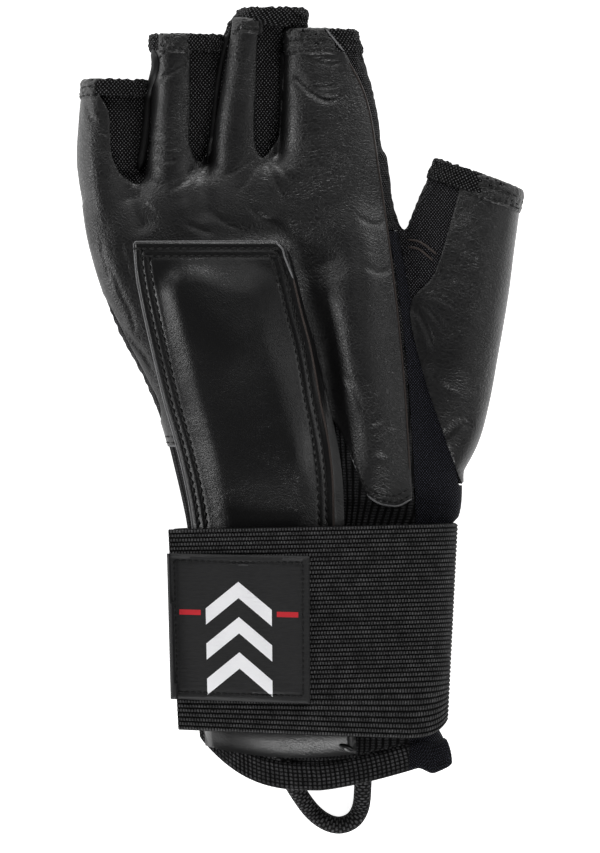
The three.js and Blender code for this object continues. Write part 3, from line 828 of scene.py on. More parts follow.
class NodeSheet:
    """Lays out one material's shader nodes."""

    def __init__(self, name: str) -> None:
        """Starts an empty material with its output and main shader."""
        self.material = bpy.data.materials.new(name)
        self.material.use_nodes = True
        self.tree = self.material.node_tree
        self.tree.nodes.clear()
        self.shader = self.add("BsdfPrincipled")
        output = self.add("OutputMaterial")
        self.tree.links.new(self.shader.outputs[0], output.inputs[0])

    def add(self, kind: str, inputs: Optional[dict] = None, **settings: object) -> bpy.types.Node:
        """Adds a node.

        Args:
            kind: the node's type after ShaderNode.
            inputs: values or sockets for its inputs, by name or number.
            settings: its own properties.

        Returns:
            The node.
        """
        node = self.tree.nodes.new("ShaderNode" + kind)
        for key, value in settings.items():
            setattr(node, key, value)
        for key, value in (inputs or {}).items():
            if isinstance(value, Socket):
                self.tree.links.new(value, node.inputs[key])
            else:
                node.inputs[key].default_value = value
        return node

    def coords(self) -> Socket:
        """Returns the piece's own coordinates in millimetres."""
        return self.scaled(self.add("TexCoord").outputs["Object"], 1 / MM, 1 / MM, 1 / MM)

    def lay(self) -> Socket:
        """Returns the places in the cloth that the piece keeps."""
        return self.add("Attribute", attribute_name="lay").outputs["Vector"]

    def wobbled(self, vector: Socket, scale: float, reach: float) -> Socket:
        """Bends coordinates by a soft noise.

        Args:
            vector: the coordinates.
            scale: the noise's scale.
            reach: how far it bends them.

        Returns:
            The bent coordinates.
        """
        noise = self.add("TexNoise", {"Vector": vector, "Scale": scale, "Detail": 2.0}).outputs["Color"]
        moved = self.add("VectorMath", {0: noise, 1: (reach, reach, reach)}, operation="MULTIPLY").outputs[0]
        return self.add("VectorMath", {0: vector, 1: moved}, operation="ADD").outputs[0]

    def scaled(self, vector: Socket, *scale: float) -> Socket:
        """Stretches coordinates."""
        return self.add("Mapping", {"Vector": vector, "Scale": scale}).outputs[0]

    def celled(self, vector: Socket, size: Sequence[float], turn: float) -> Socket:
        """Measures coordinates in cells of a size that are turned about Z."""
        return self.add(
            "Mapping", {"Vector": vector, "Scale": size, "Rotation": (0, 0, turn)}, vector_type="TEXTURE"
        ).outputs[0]

    def net(self, vector: Socket, size: Sequence[float], turn: float, soft: float) -> Socket:
        """Makes a net of cells.

        Args:
            vector: the coordinates.
            size: the cells' size.
            turn: how far they are turned.
            soft: how wide their grooves are.

        Returns:
            0 in the grooves and 1 on top of the cells.
        """
        cells = self.add(
            "TexVoronoi", {"Vector": self.celled(vector, size, turn), "Scale": 1.0, "Randomness": 1.0},
            feature="DISTANCE_TO_EDGE",
        ).outputs["Distance"]
        inputs = {"Value": cells, 1: 0.0, 2: soft}
        return self.add("MapRange", inputs, interpolation_type="SMOOTHSTEP").outputs[0]

    def math(self, operation: str, a: object, b: object = 0.0, c: object = 0.0) -> Socket:
        """Adds a math node and returns its value."""
        return self.add("Math", {0: a, 1: b, 2: c}, operation=operation).outputs[0]

    def away(self, value: Socket, place: float) -> Socket:
        """Returns how far a value is from a place."""
        return self.math("ABSOLUTE", self.math("SUBTRACT", value, place))

    def within(self, value: Socket, place: float, half: float) -> Socket:
        """Returns 1 where a value is less than half a width from a place, and 0 elsewhere."""
        return self.math("LESS_THAN", self.away(value, place), half)

    def noise(self, vector: Socket, scale: float, detail: float) -> Socket:
        """Adds a noise texture and returns its value."""
        return self.add("TexNoise", {"Vector": vector, "Scale": scale, "Detail": detail}).outputs["Fac"]

    def ramp(self, value: Socket, *stops: tuple[float, Sequence[float]]) -> Socket:
        """Adds a colour ramp.

        Args:
            value: what it reads.
            stops: places and colours.

        Returns:
            Its colour.
        """
        node = self.add("ValToRGB", {"Fac": value})
        ramp = node.color_ramp
        while len(ramp.elements) < len(stops):
            ramp.elements.new(0.5)
        for element, (place, colour) in zip(ramp.elements, stops):
            element.position = place
            element.color = (*colour, 1) if len(colour) == 3 else colour
        return node.outputs["Color"]

    def span(self, value: Socket, low: float, high: float, out_low: float, out_high: float) -> Socket:
        """Maps a value from one range to another."""
        return self.add(
            "MapRange", {"Value": value, 1: low, 2: high, 3: out_low, 4: out_high}, clamp=True
        ).outputs[0]

    def bump(self, height: Socket, depth: float, under: Optional[Socket] = None) -> Socket:
        """Adds a bump, over another one if it is given.

        Args:
            height: what it reads.
            depth: its depth in millimetres.
            under: the bump below it.

        Returns:
            Its normal.
        """
        inputs = {"Height": height, "Distance": depth * MM, "Strength": 1.0}
        if under is not None:
            inputs["Normal"] = under
        return self.add("Bump", inputs).outputs[0]

    def finish(self, **inputs: object) -> bpy.types.Material:
        """Sets the main shader's inputs, underscores for spaces, and returns the material."""
        for key, value in inputs.items():
            socket = self.shader.inputs[key.replace("_", " ")]
            if isinstance(value, Socket):
                self.tree.links.new(value, socket)
            else:
                socket.default_value = value
        return self.material


@dataclass(frozen=True)
class Leather:
    """Black goat leather with a net of fine wrinkles over a small pebble.

    Attributes:
        name: the material's name.
        colour: its tone in the grain's grooves, darkened there as painted shade, and its tone on the grain's
            tops and in calm areas.
        pebble: the pebble's size and depth.
        wrinkle: the wrinkles' length, width and depth.
        turns: the wrinkles' direction on the palm and on the fingers.
        fingers: where along the glove one direction gives way to the other.
        calm: the least share of the grain's depth.
        roughness: its smoothest and roughest value.
    """

    name: str
    colour: tuple[Sequence[float], Sequence[float]] = ((0.0008, 0.0008, 0.0009), (0.0045, 0.0043, 0.0047))
    pebble: tuple[float, float] = (1.2, 0.11)
    wrinkle: tuple[float, float, float] = (2.1, 1.1, 0.11)
    turns: tuple[float, float] = (-0.6, 0.0)
    fingers: tuple[float, float] = (58, 68)
    calm: float = 0.36
    roughness: tuple[float, float] = (0.32, 0.54)

    def build(self) -> bpy.types.Material:
        """Makes the material."""
        sheet = NodeSheet(self.name)
        coords = sheet.coords()
        bent = sheet.wobbled(coords, 0.12, 4.0)
        long, wide, deep = self.wrinkle
        palm, finger = (sheet.net(bent, (long, wide, 1.6 * wide), turn, 0.22) for turn in self.turns)
        along = sheet.add("SeparateXYZ", {0: bent}).outputs[1]
        folds = sheet.add("Mix", {0: sheet.span(along, *self.fingers, 0, 1), 2: palm, 3: finger}).outputs[0]
        small = self.pebble[0]
        cells = sheet.net(bent, (small, 0.8 * small, small), 0.5, 0.3)
        marked = sheet.add("SeparateXYZ", {0: sheet.lay()}).outputs[0]
        cloud = sheet.span(sheet.noise(coords, 0.06, 2), 0.35, 0.65, 0.45, 1.0)
        grain = sheet.math("MULTIPLY", cloud, sheet.span(marked, 0, 1, self.calm, 1.0))
        normal = sheet.bump(sheet.math("MULTIPLY", folds, grain), deep)
        normal = sheet.bump(sheet.math("MULTIPLY", cells, grain), self.pebble[1], normal)
        # Painted shade: where the grain is strong, the colour darkens in the grooves of the wrinkles and
        # pebble and is lightest on their tops.
        tops = sheet.math("MULTIPLY", sheet.span(folds, 0, 1, 0.45, 1.0), sheet.span(cells, 0, 1, 0.6, 1.0))
        tone = sheet.add("Mix", {0: sheet.span(grain, 0, 0.5, 0.25, 1.0), 2: 1.0, 3: tops}).outputs[0]
        colour = sheet.ramp(tone, (0.25, self.colour[0]), (0.95, self.colour[1]))
        rough = sheet.span(tone, 0.3, 1.0, self.roughness[1], self.roughness[0])
        return sheet.finish(Base_Color=colour, Roughness=rough, Normal=normal, Specular_IOR_Level=0.55)


@dataclass(frozen=True)
class Knit:
    """Bumpy mesh knit.

    Attributes:
        name: the material's name.
        tones: the tones of the holes, painted near black as shade, the yarn, and its lit loops, whose light
            tone is a painted highlight.
        pitch: half the distance between loops in a row, and the distance between rows.
        depth: the loops' depth.
    """

    name: str
    tones: tuple[Sequence[float], Sequence[float], Sequence[float]] = (
        (0.0006, 0.0006, 0.0007), (0.008, 0.008, 0.0085), (0.14, 0.14, 0.144),
    )
    pitch: tuple[float, float] = (0.54, 0.66)
    depth: float = 0.34

    def build(self) -> bpy.types.Material:
        """Makes the material."""
        sheet = NodeSheet(self.name)
        parts = sheet.add("SeparateXYZ", {0: sheet.wobbled(sheet.lay(), 0.3, 0.9)}).outputs
        across, along = (
            sheet.math("SINE", sheet.math("MULTIPLY", place, math.pi / pitch))
            for place, pitch in zip(parts, self.pitch)
        )
        loops = sheet.span(sheet.math("MULTIPLY", across, along), 0.05, 0.9, 0.0, 1.0)
        fibre = sheet.noise(sheet.coords(), 1.7, 3)
        height = sheet.math("MULTIPLY", loops, sheet.span(fibre, 0.3, 0.6, 0.6, 1.0))
        normal = sheet.bump(height, self.depth)
        # Painted light and shade: the holes between loops are painted near black as shade, and the loops'
        # tops carry a painted highlight.
        colour = sheet.ramp(height, *zip((0.06, 0.38, 0.85), self.tones))
        return sheet.finish(
            Base_Color=colour, Roughness=0.8, Normal=normal, Sheen_Weight=0.02, Sheen_Roughness=0.5,
            Specular_IOR_Level=0.1,
        )


@dataclass(frozen=True)
class Woven:
    """Cloth whose ribs and beads follow the places that the piece keeps.

    Attributes:
        name: the material's name.
        colour: the tone of its beads' tops, a painted highlight; the gaps between beads and rows are painted
            far darker as shade.
        pitch: the beads' distance across and along the cloth.
        depth: their depth.
        shift: how far each row is moved against the one before, as a share of a bead.
        bridge: how high the cloth is between the beads of a row and between two rows.
        roughness: how matte it is.
    """

    name: str
    colour: Sequence[float]
    pitch: tuple[float, float]
    depth: float
    shift: float = 0.0
    bridge: tuple[float, float] = (0.15, 0.0)
    roughness: float = 0.75

    def build(self) -> bpy.types.Material:
        """Makes the material."""
        sheet = NodeSheet(self.name)
        coords = sheet.coords()
        parts = sheet.add("SeparateXYZ", {0: sheet.lay()}).outputs
        across, along = self.pitch
        row = sheet.math("FLOOR", sheet.math("DIVIDE", parts[1], along))
        moved = sheet.math("MULTIPLY_ADD", row, across * self.shift, parts[0])
        beads = []
        for place, pitch, low in ((moved, across, self.bridge[0]), (parts[1], along, self.bridge[1])):
            wave = sheet.math("ABSOLUTE", sheet.math("SINE", sheet.math("MULTIPLY", place, math.pi / pitch)))
            beads.append(sheet.span(wave, 0.1, 0.8, low, 1.0))
        fibre = sheet.span(sheet.noise(coords, 2.6, 3), 0.32, 0.62, 0.6, 1.0)
        height = sheet.math("MULTIPLY", sheet.math("MULTIPLY", *beads), fibre)
        cloud = sheet.span(sheet.noise(coords, 0.25, 3), 0.3, 0.7, 0.7, 1.0)
        tone = sheet.math("MULTIPLY", cloud, height)
        # Painted shade and highlight: the colour falls to a fiftieth of the bead tone in the gaps between
        # beads and rows, and is brightest on the bead tops.
        dark, middle = (tuple(share * c for c in self.colour) for share in (0.02, 0.2))
        colour = sheet.ramp(tone, (0.12, dark), (0.5, middle), (0.92, self.colour))
        normal = sheet.bump(height, self.depth)
        return sheet.finish(
            Base_Color=colour, Roughness=self.roughness, Normal=normal, Specular_IOR_Level=0.08
        )


@dataclass(frozen=True)
class LabelCloth:
    """Smooth label cloth with three plain chevrons and a short bar on each side.

    Attributes:
        name: the material's name.
        ground: the cloth's tone.
        band: the chevrons' colour.
        line: the bars' colour.
        middle: the label's middle across it and up it.
        slope: how steep the chevrons' arms are.
        arms: the chevrons' half width, the half height of the three and their stroke.
        row_middle: the middle of the three, measured up their slope.
        repeat: where the first chevron's arm lies, and half the step from one to the next.
        bar: a bar's half height, its middle from the label's middle and its half length.
    """

    name: str = "label_cloth"
    ground: Sequence[float] = (0.014, 0.014, 0.0146)
    band: Sequence[float] = (0.9, 0.9, 0.92)
    line: Sequence[float] = (0.55, 0.02, 0.03)
    middle: tuple[float, float] = (22.4, 27.0)
    slope: float = 0.8
    arms: tuple[float, float, float] = (10.5, 15.9, 2.5)
    row_middle: float = 26.0
    repeat: tuple[float, float] = (12.6, 5.4)
    bar: tuple[float, float, float] = (0.8, 15.5, 3.4)

    def build(self) -> bpy.types.Material:
        """Makes the material."""
        sheet = NodeSheet(self.name)
        parts = sheet.add("SeparateXYZ", {0: sheet.lay()}).outputs
        wide, tall, stroke = self.arms
        half, side, reach = self.bar
        away = sheet.away(parts[0], self.middle[0])
        slanted = sheet.math("MULTIPLY_ADD", away, self.slope, parts[1])
        wave = sheet.math("PINGPONG", sheet.math("SUBTRACT", slanted, self.repeat[0]), self.repeat[1])
        near = sheet.math("LESS_THAN", away, wide)
        rows = sheet.math("MULTIPLY", sheet.within(slanted, self.row_middle, tall), near)
        white = sheet.math("MULTIPLY", sheet.math("LESS_THAN", wave, stroke), rows)
        level = sheet.within(parts[1], self.middle[1], half)
        red = sheet.math("MULTIPLY", level, sheet.within(away, side, reach))
        weave = sheet.noise(sheet.scaled(sheet.coords(), 0.5, 5, 1), 1.0, 2)
        dark, light = (tuple(share * c for c in self.ground) for share in (0.75, 1.25))
        colour = sheet.ramp(weave, (0.3, dark), (0.7, light))
        for where, ink in ((white, self.band), (red, self.line)):
            colour = sheet.add("Mix", {0: where, 6: colour, 7: (*ink, 1)}, data_type="RGBA").outputs[2]
        normal = sheet.bump(sheet.math("MULTIPLY_ADD", white, 0.8, weave), 0.07)
        return sheet.finish(Base_Color=colour, Roughness=0.6, Normal=normal, Specular_IOR_Level=0.3)


@dataclass(frozen=True)
class Plain:
    """A plain matte finish, for thread and raw edges."""

    name: str
    colour: Sequence[float]
    roughness: float = 0.7

    def build(self) -> bpy.types.Material:
        """Makes the material."""
        sheet = NodeSheet(self.name)
        fibre = sheet.noise(sheet.coords(), 3.0, 2)
        colour = sheet.ramp(fibre, (0.3, tuple(0.6 * c for c in self.colour)), (0.7, self.colour))
        return sheet.finish(Base_Color=colour, Roughness=self.roughness, Specular_IOR_Level=0.3)


class Finish(Enum):
    """The glove's finishes."""

    LEATHER = Leather("pebbled_leather")
    THUMB_LEATHER = Leather("thumb_leather", turns=(-0.35, -0.35))
    COVER = Leather(
        "smooth_leather", colour=((0.0022, 0.0022, 0.0024), (0.0038, 0.0038, 0.0041)), pebble=(0.6, 0.02),
        wrinkle=(1.8, 0.9, 0.02), roughness=(0.28, 0.34),
    )
    KNIT = Knit("mesh_knit")
    THUMB_KNIT = Knit(
        "thumb_knit", tones=((0.001, 0.001, 0.0013), (0.007, 0.007, 0.0084), (0.12, 0.12, 0.13)),
        pitch=(0.46, 0.56), depth=0.26,
    )
    RIB = Woven("rib_knit", colour=(0.045, 0.045, 0.047), pitch=(2.0, 0.9), depth=0.35, bridge=(0.0, 0.5))
    HEM = Woven("hem_knit", colour=(0.08, 0.08, 0.083), pitch=(1.43, 1.25), depth=0.3, bridge=(0.1, 0.25))
    GUSSET = Knit(
        "stretch_knit", tones=((0.0008, 0.0008, 0.0014), (0.005, 0.0054, 0.009), (0.055, 0.058, 0.08)),
        pitch=(0.42, 0.5), depth=0.2,
    )
    ELASTIC = Woven("woven_elastic", colour=(0.095, 0.095, 0.097), pitch=(0.96, 1.378), depth=0.3, shift=0.5)
    LABEL = LabelCloth()
    CORD = Woven("braid", colour=(0.1, 0.1, 0.103), pitch=(2.2, 1.0), depth=0.4, shift=0.5, bridge=(0.1, 0.1))
    THREAD = Plain("thread", (0.0015, 0.0015, 0.0016))
    RAW = Plain("raw_edge", (0.19, 0.19, 0.195))
    SEAM = Plain("seam_edge", (0.045, 0.034, 0.03))
    WELT = Plain("welt", (0.006, 0.006, 0.0063), 0.55)


_MADE: dict[Finish, bpy.types.Material] = {}


def dress(piece: Piece, finish: Finish, *nodes: str) -> None:
    """Gives a piece its finish, its place on the glove's body and the CAD nodes that it stands for.

    Args:
        piece: the piece.
        finish: its finish.
        nodes: the CAD nodes that it replaces.
    """
    if finish not in _MADE:
        _MADE[finish] = finish.value.build()
    piece.data.materials.clear()
    piece.data.materials.append(_MADE[finish])
    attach(piece, "root")
    if nodes:
        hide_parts(*nodes)
    DRESSED[piece.name.split(".")[0]] = piece
    LOG.info("%s: %d faces", piece.name, len(piece.data.polygons))


# Trim


@dataclass
class Seam:
    """Rows of stitches that dip into what they sew.

    Attributes:
        name: the piece's name.
        lines: the rows, seen from above.
        pitch: from one stitch to the next.
        radius: the thread's radius.
    """

    name: str
    lines: Sequence[Sequence[Sequence[float]]]
    pitch: float = 2.6
    radius: float = 0.34

    def build(self, *on: str) -> Piece:
        """Sews the rows through the pieces named.

        Args:
            on: the pieces' names.

        Returns:
            The stitches.
        """
        rows = []
        for line in self.lines:
            route = smooth_line(line, self.pitch / 8)
            z = heights(route, *on)
            route, z = route[z > 0], z[z > 0]
            if len(route) < 6:
                LOG.warning("%s: a row lies beside its piece", self.name)
                continue
            swell = np.abs(np.sin(np.pi * np.arange(len(route)) / 8))
            path = np.column_stack([route, steadied(z) + self.radius * (1.5 * swell - 1.15)])
            rows.append(sweep(self.name, path, self.radius * (0.5 + 0.5 * swell), 6))
        piece = join(*rows)
        smooth_shade(piece, 60)
        dress(piece, Finish.THREAD)
        return piece


@dataclass
class Edge:
    """A thin trim that lies along lines on the glove.

    Attributes:
        name: the piece's name.
        lines: the lines, seen from above.
        radius: its radius.
        lift: how far its middle is above what it lies on.
        finish: its finish.
        sides: its number of sides.
    """

    name: str
    lines: Sequence[Sequence[Sequence[float]]]
    radius: float = 0.24
    lift: float = 0.0
    finish: Finish = Finish.RAW
    sides: int = 6

    def build(self, *on: str) -> Piece:
        """Lays the trim on the pieces named.

        Args:
            on: the pieces' names.

        Returns:
            The trim.
        """
        rows = []
        for line in self.lines:
            route = smooth_line(line, max(0.5, self.radius * 0.6))
            z = heights(route, *on)
            route, z = route[z > 0], z[z > 0]
            if len(route) < 6:
                LOG.warning("%s: a row lies beside its piece", self.name)
                continue
            steps = np.arange(len(route))
            taper = np.minimum(1, 0.35 + np.minimum(steps, steps[::-1]) * 0.25)
            path = np.column_stack([route, steadied(z, 3) + self.lift])
            rows.append(sweep(self.name, path, self.radius * taper, self.sides))
        piece = join(*rows)
        smooth_shade(piece, 60)
        dress(piece, self.finish)
        return piece


# Sub-assemblies


@dataclass(frozen=True)
class Fold:
    """A soft groove, or a ridge where its depth is negative.

    Attributes:
        depth: how deep it is.
        width: how wide it is.
        line: its middle line, seen from above.
    """

    depth: float
    width: float
    line: Sequence[Sequence[float]]

    def at(self, spots: Array) -> Array:
        """Returns how far it moves each spot."""
        away, where = line_distance(spots, smooth_line(self.line, 1.5))
        ends = np.minimum(1, 4 * np.minimum(where, 1 - where) + 0.25)
        return -self.depth * ends * np.exp(-((away / self.width) ** 2))


FOLDS = (
    Fold(4.0, 5.0, (
        (-20.6, 52.4), (-8.2, 53), (-2.4, 50.4), (-0.2, 43.7), (3.6, 28.3), (7.6, 13.9), (11, -0.5),
        (13.8, -13), (16, -27),
    )),
    Fold(2.4, 8.5, ((-8, 68), (0, 60), (4, 50), (9, 36))),
    Fold(-1.1, 8.5, (
        (11, 92), (14.2, 79.5), (15.8, 66.7), (19.7, 47.5), (22.9, 28.3), (26, 6), (28, -13), (27.5, -26),
    )),
    Fold(-0.9, 5.0, ((-41, 90), (-39.8, 73), (-37.9, 63.5))),
    Fold(-0.9, 6.0, ((-65.8, 80), (-64.8, 63.5), (-61.6, 47.5), (-57.8, 34.7))),
    Fold(1.3, 2.6, ((-33.6, 108), (-34.0, 92), (-33.4, 80))),
    Fold(1.2, 2.6, ((-12.2, 114), (-12.6, 96), (-12.8, 83))),
    Fold(1.3, 4.0, ((-53.6, 67), (-51.4, 58.7), (-48.2, 52.3))),
    Fold(1.1, 4.0, ((-32.2, 75), (-31.2, 65), (-30.2, 55.5))),
    Fold(1.4, 1.0, ((-3.7, 103.3), (-0.8, 101.7), (2.3, 98.7), (6, 96.1), (9.8, 95.3), (12.9, 96.5))),
    Fold(0.8, 0.8, ((-3, 105), (1.4, 101.6), (5.9, 99.4), (12, 100.2))),
    Fold(0.8, 0.8, ((4, 108.4), (6.9, 107.2), (10.7, 106.8), (13, 108))),
    Fold(0.6, 0.8, ((-45.3, 101.6), (-40.6, 104.5), (-36, 107.4))),
    Fold(0.6, 0.8, ((-46.4, 78.9), (-41, 78.2), (-37, 78.6))),
    Fold(0.6, 0.8, ((-47.2, 76.4), (-43, 75.8), (-39.2, 76.2))),
    Fold(0.5, 0.7, ((-46.6, 83), (-42, 82), (-38.6, 83.2))),
    Fold(0.5, 0.7, ((-68.6, 95.5), (-67.4, 90.7), (-65.1, 87.5))),
    Fold(0.4, 0.7, ((-70.6, 93), (-70, 87), (-68, 83))),
    Fold(0.5, 0.7, ((-13.5, 77.4), (-18, 74.6), (-23.2, 70.9))),
    Fold(0.5, 0.7, ((-12.9, 76), (-16, 71), (-19.5, 66))),
    Fold(0.5, 0.7, ((-12.2, 76), (-11.6, 73), (-11.2, 69.6))),
    Fold(0.6, 0.8, ((-11.6, 77), (-8.4, 70), (-4, 62.6))),
    Fold(0.5, 0.8, ((-10.8, 78.6), (-6, 73), (-1, 68))),
    Fold(0.5, 0.8, ((-52, 67.6), (-50, 62.6), (-46, 58.6))),
    Fold(0.5, 0.8, ((-33, 75), (-36, 70), (-41, 66))),
    Fold(0.5, 0.7, ((-36.4, 55.6), (-32, 53.8), (-28.3, 52.4))),
    Fold(0.5, 0.7, ((-27.7, 58.4), (-24, 56), (-20.1, 54.2))),
    Fold(0.6, 0.8, ((-16.5, 61.6), (-12.4, 57.4), (-8.2, 56))),
    Fold(0.35, 0.6, ((-67.6, 46.9), (-64.4, 41), (-60.4, 36.1))),
    Fold(0.35, 0.6, ((-64, 51), (-62.4, 43.4), (-60, 35.7))),
    Fold(0.35, 0.6, ((-57.4, 51), (-56.4, 45), (-54.2, 38.7))),
    Fold(0.35, 0.6, ((-61.6, 44), (-58.6, 37), (-56.2, 31))),
    Fold(0.35, 0.6, ((-61.9, 31), (-58.4, 27.4), (-55.3, 22.9))),
    Fold(0.6, 0.7, ((-61, 28.5), (-55.6, 21), (-49.8, 13.7), (-46.6, 8))),
    Fold(0.35, 0.6, ((-57, 33), (-54.4, 28), (-52.6, 21))),
    Fold(0.5, 0.8, ((24, -18.6), (27.6, -19.4), (31.5, -19))),
    Fold(0.5, 0.8, ((22, -10), (26.6, -8.4), (31.5, -9.4))),
    Fold(0.4, 0.8, ((13, 8), (17, 3), (20, -5))),
    Fold(0.4, 0.8, ((28.8, 41), (25, 40), (20.6, 42))),
    Fold(0.4, 0.8, ((27, 56), (23, 55.4), (18.6, 57.6))),
    Fold(0.7, 0.9, ((36.4, 29), (40, 23), (42.6, 15.5))),
    Fold(0.6, 0.9, ((37.6, 31), (42, 27.4), (46.6, 21))),
    Fold(0.5, 0.9, ((38, 33), (44, 32.4), (51, 28))),
    Fold(0.5, 0.9, ((41, 10), (45, 4), (50, 1))),
    Fold(0.6, 1.2, ((46, -12), (51, -8), (55, -9))),
    Fold(-0.9, 7.0, ((58, 62), (57, 40), (54, 18), (52, -4))),
)


# Where the leather's grain is strong: middle, half sizes, strength
GRAIN = (
    (12, 84, 13, 26, 1.0),
    (-13.2, 94, 4, 20, 0.9),
    (-36.5, 92, 4, 18, 0.9),
    (-69, 62, 9, 36, 0.7),
    (50, 48, 9, 24, 0.9),
    (28, 2, 9, 26, 0.55),
    (-12, 48, 30, 14, 0.35),
    (60, 10, 16, 40, 0.3),
)


def grain_at(spots: Array) -> Array:
    """Works out how strong the leather's grain is at each spot, from 0 to 1.

    Args:
        spots: the spots.

    Returns:
        The strengths.
    """
    strength = np.zeros(len(spots))
    for x, y, wide, tall, most in GRAIN:
        near = most * np.exp(-(((spots[:, 0] - x) / wide) ** 2) - (((spots[:, 1] - y) / tall) ** 2))
        strength = np.maximum(strength, near)
    return strength


def crumpled(points: Array, fine: bool = True) -> Array:
    """Sinks and lifts points of the palm side along its folds.

    Args:
        points: the points.
        fine: whether small unevenness is added too.

    Returns:
        The moved points.
    """
    spots = points[:, :2]
    move = sum(fold.at(spots) for fold in FOLDS)
    move += 0.1 * soft_noise(spots, 18, 3)
    if fine:
        move += 0.02 * soft_noise(spots, 5, 5)
    moved = points.copy()
    calm = smooth_step(spots[:, 1], -46, -34)
    moved[:, 2] += move * smooth_step(points[:, 2], 8.5, 14) * calm
    return moved


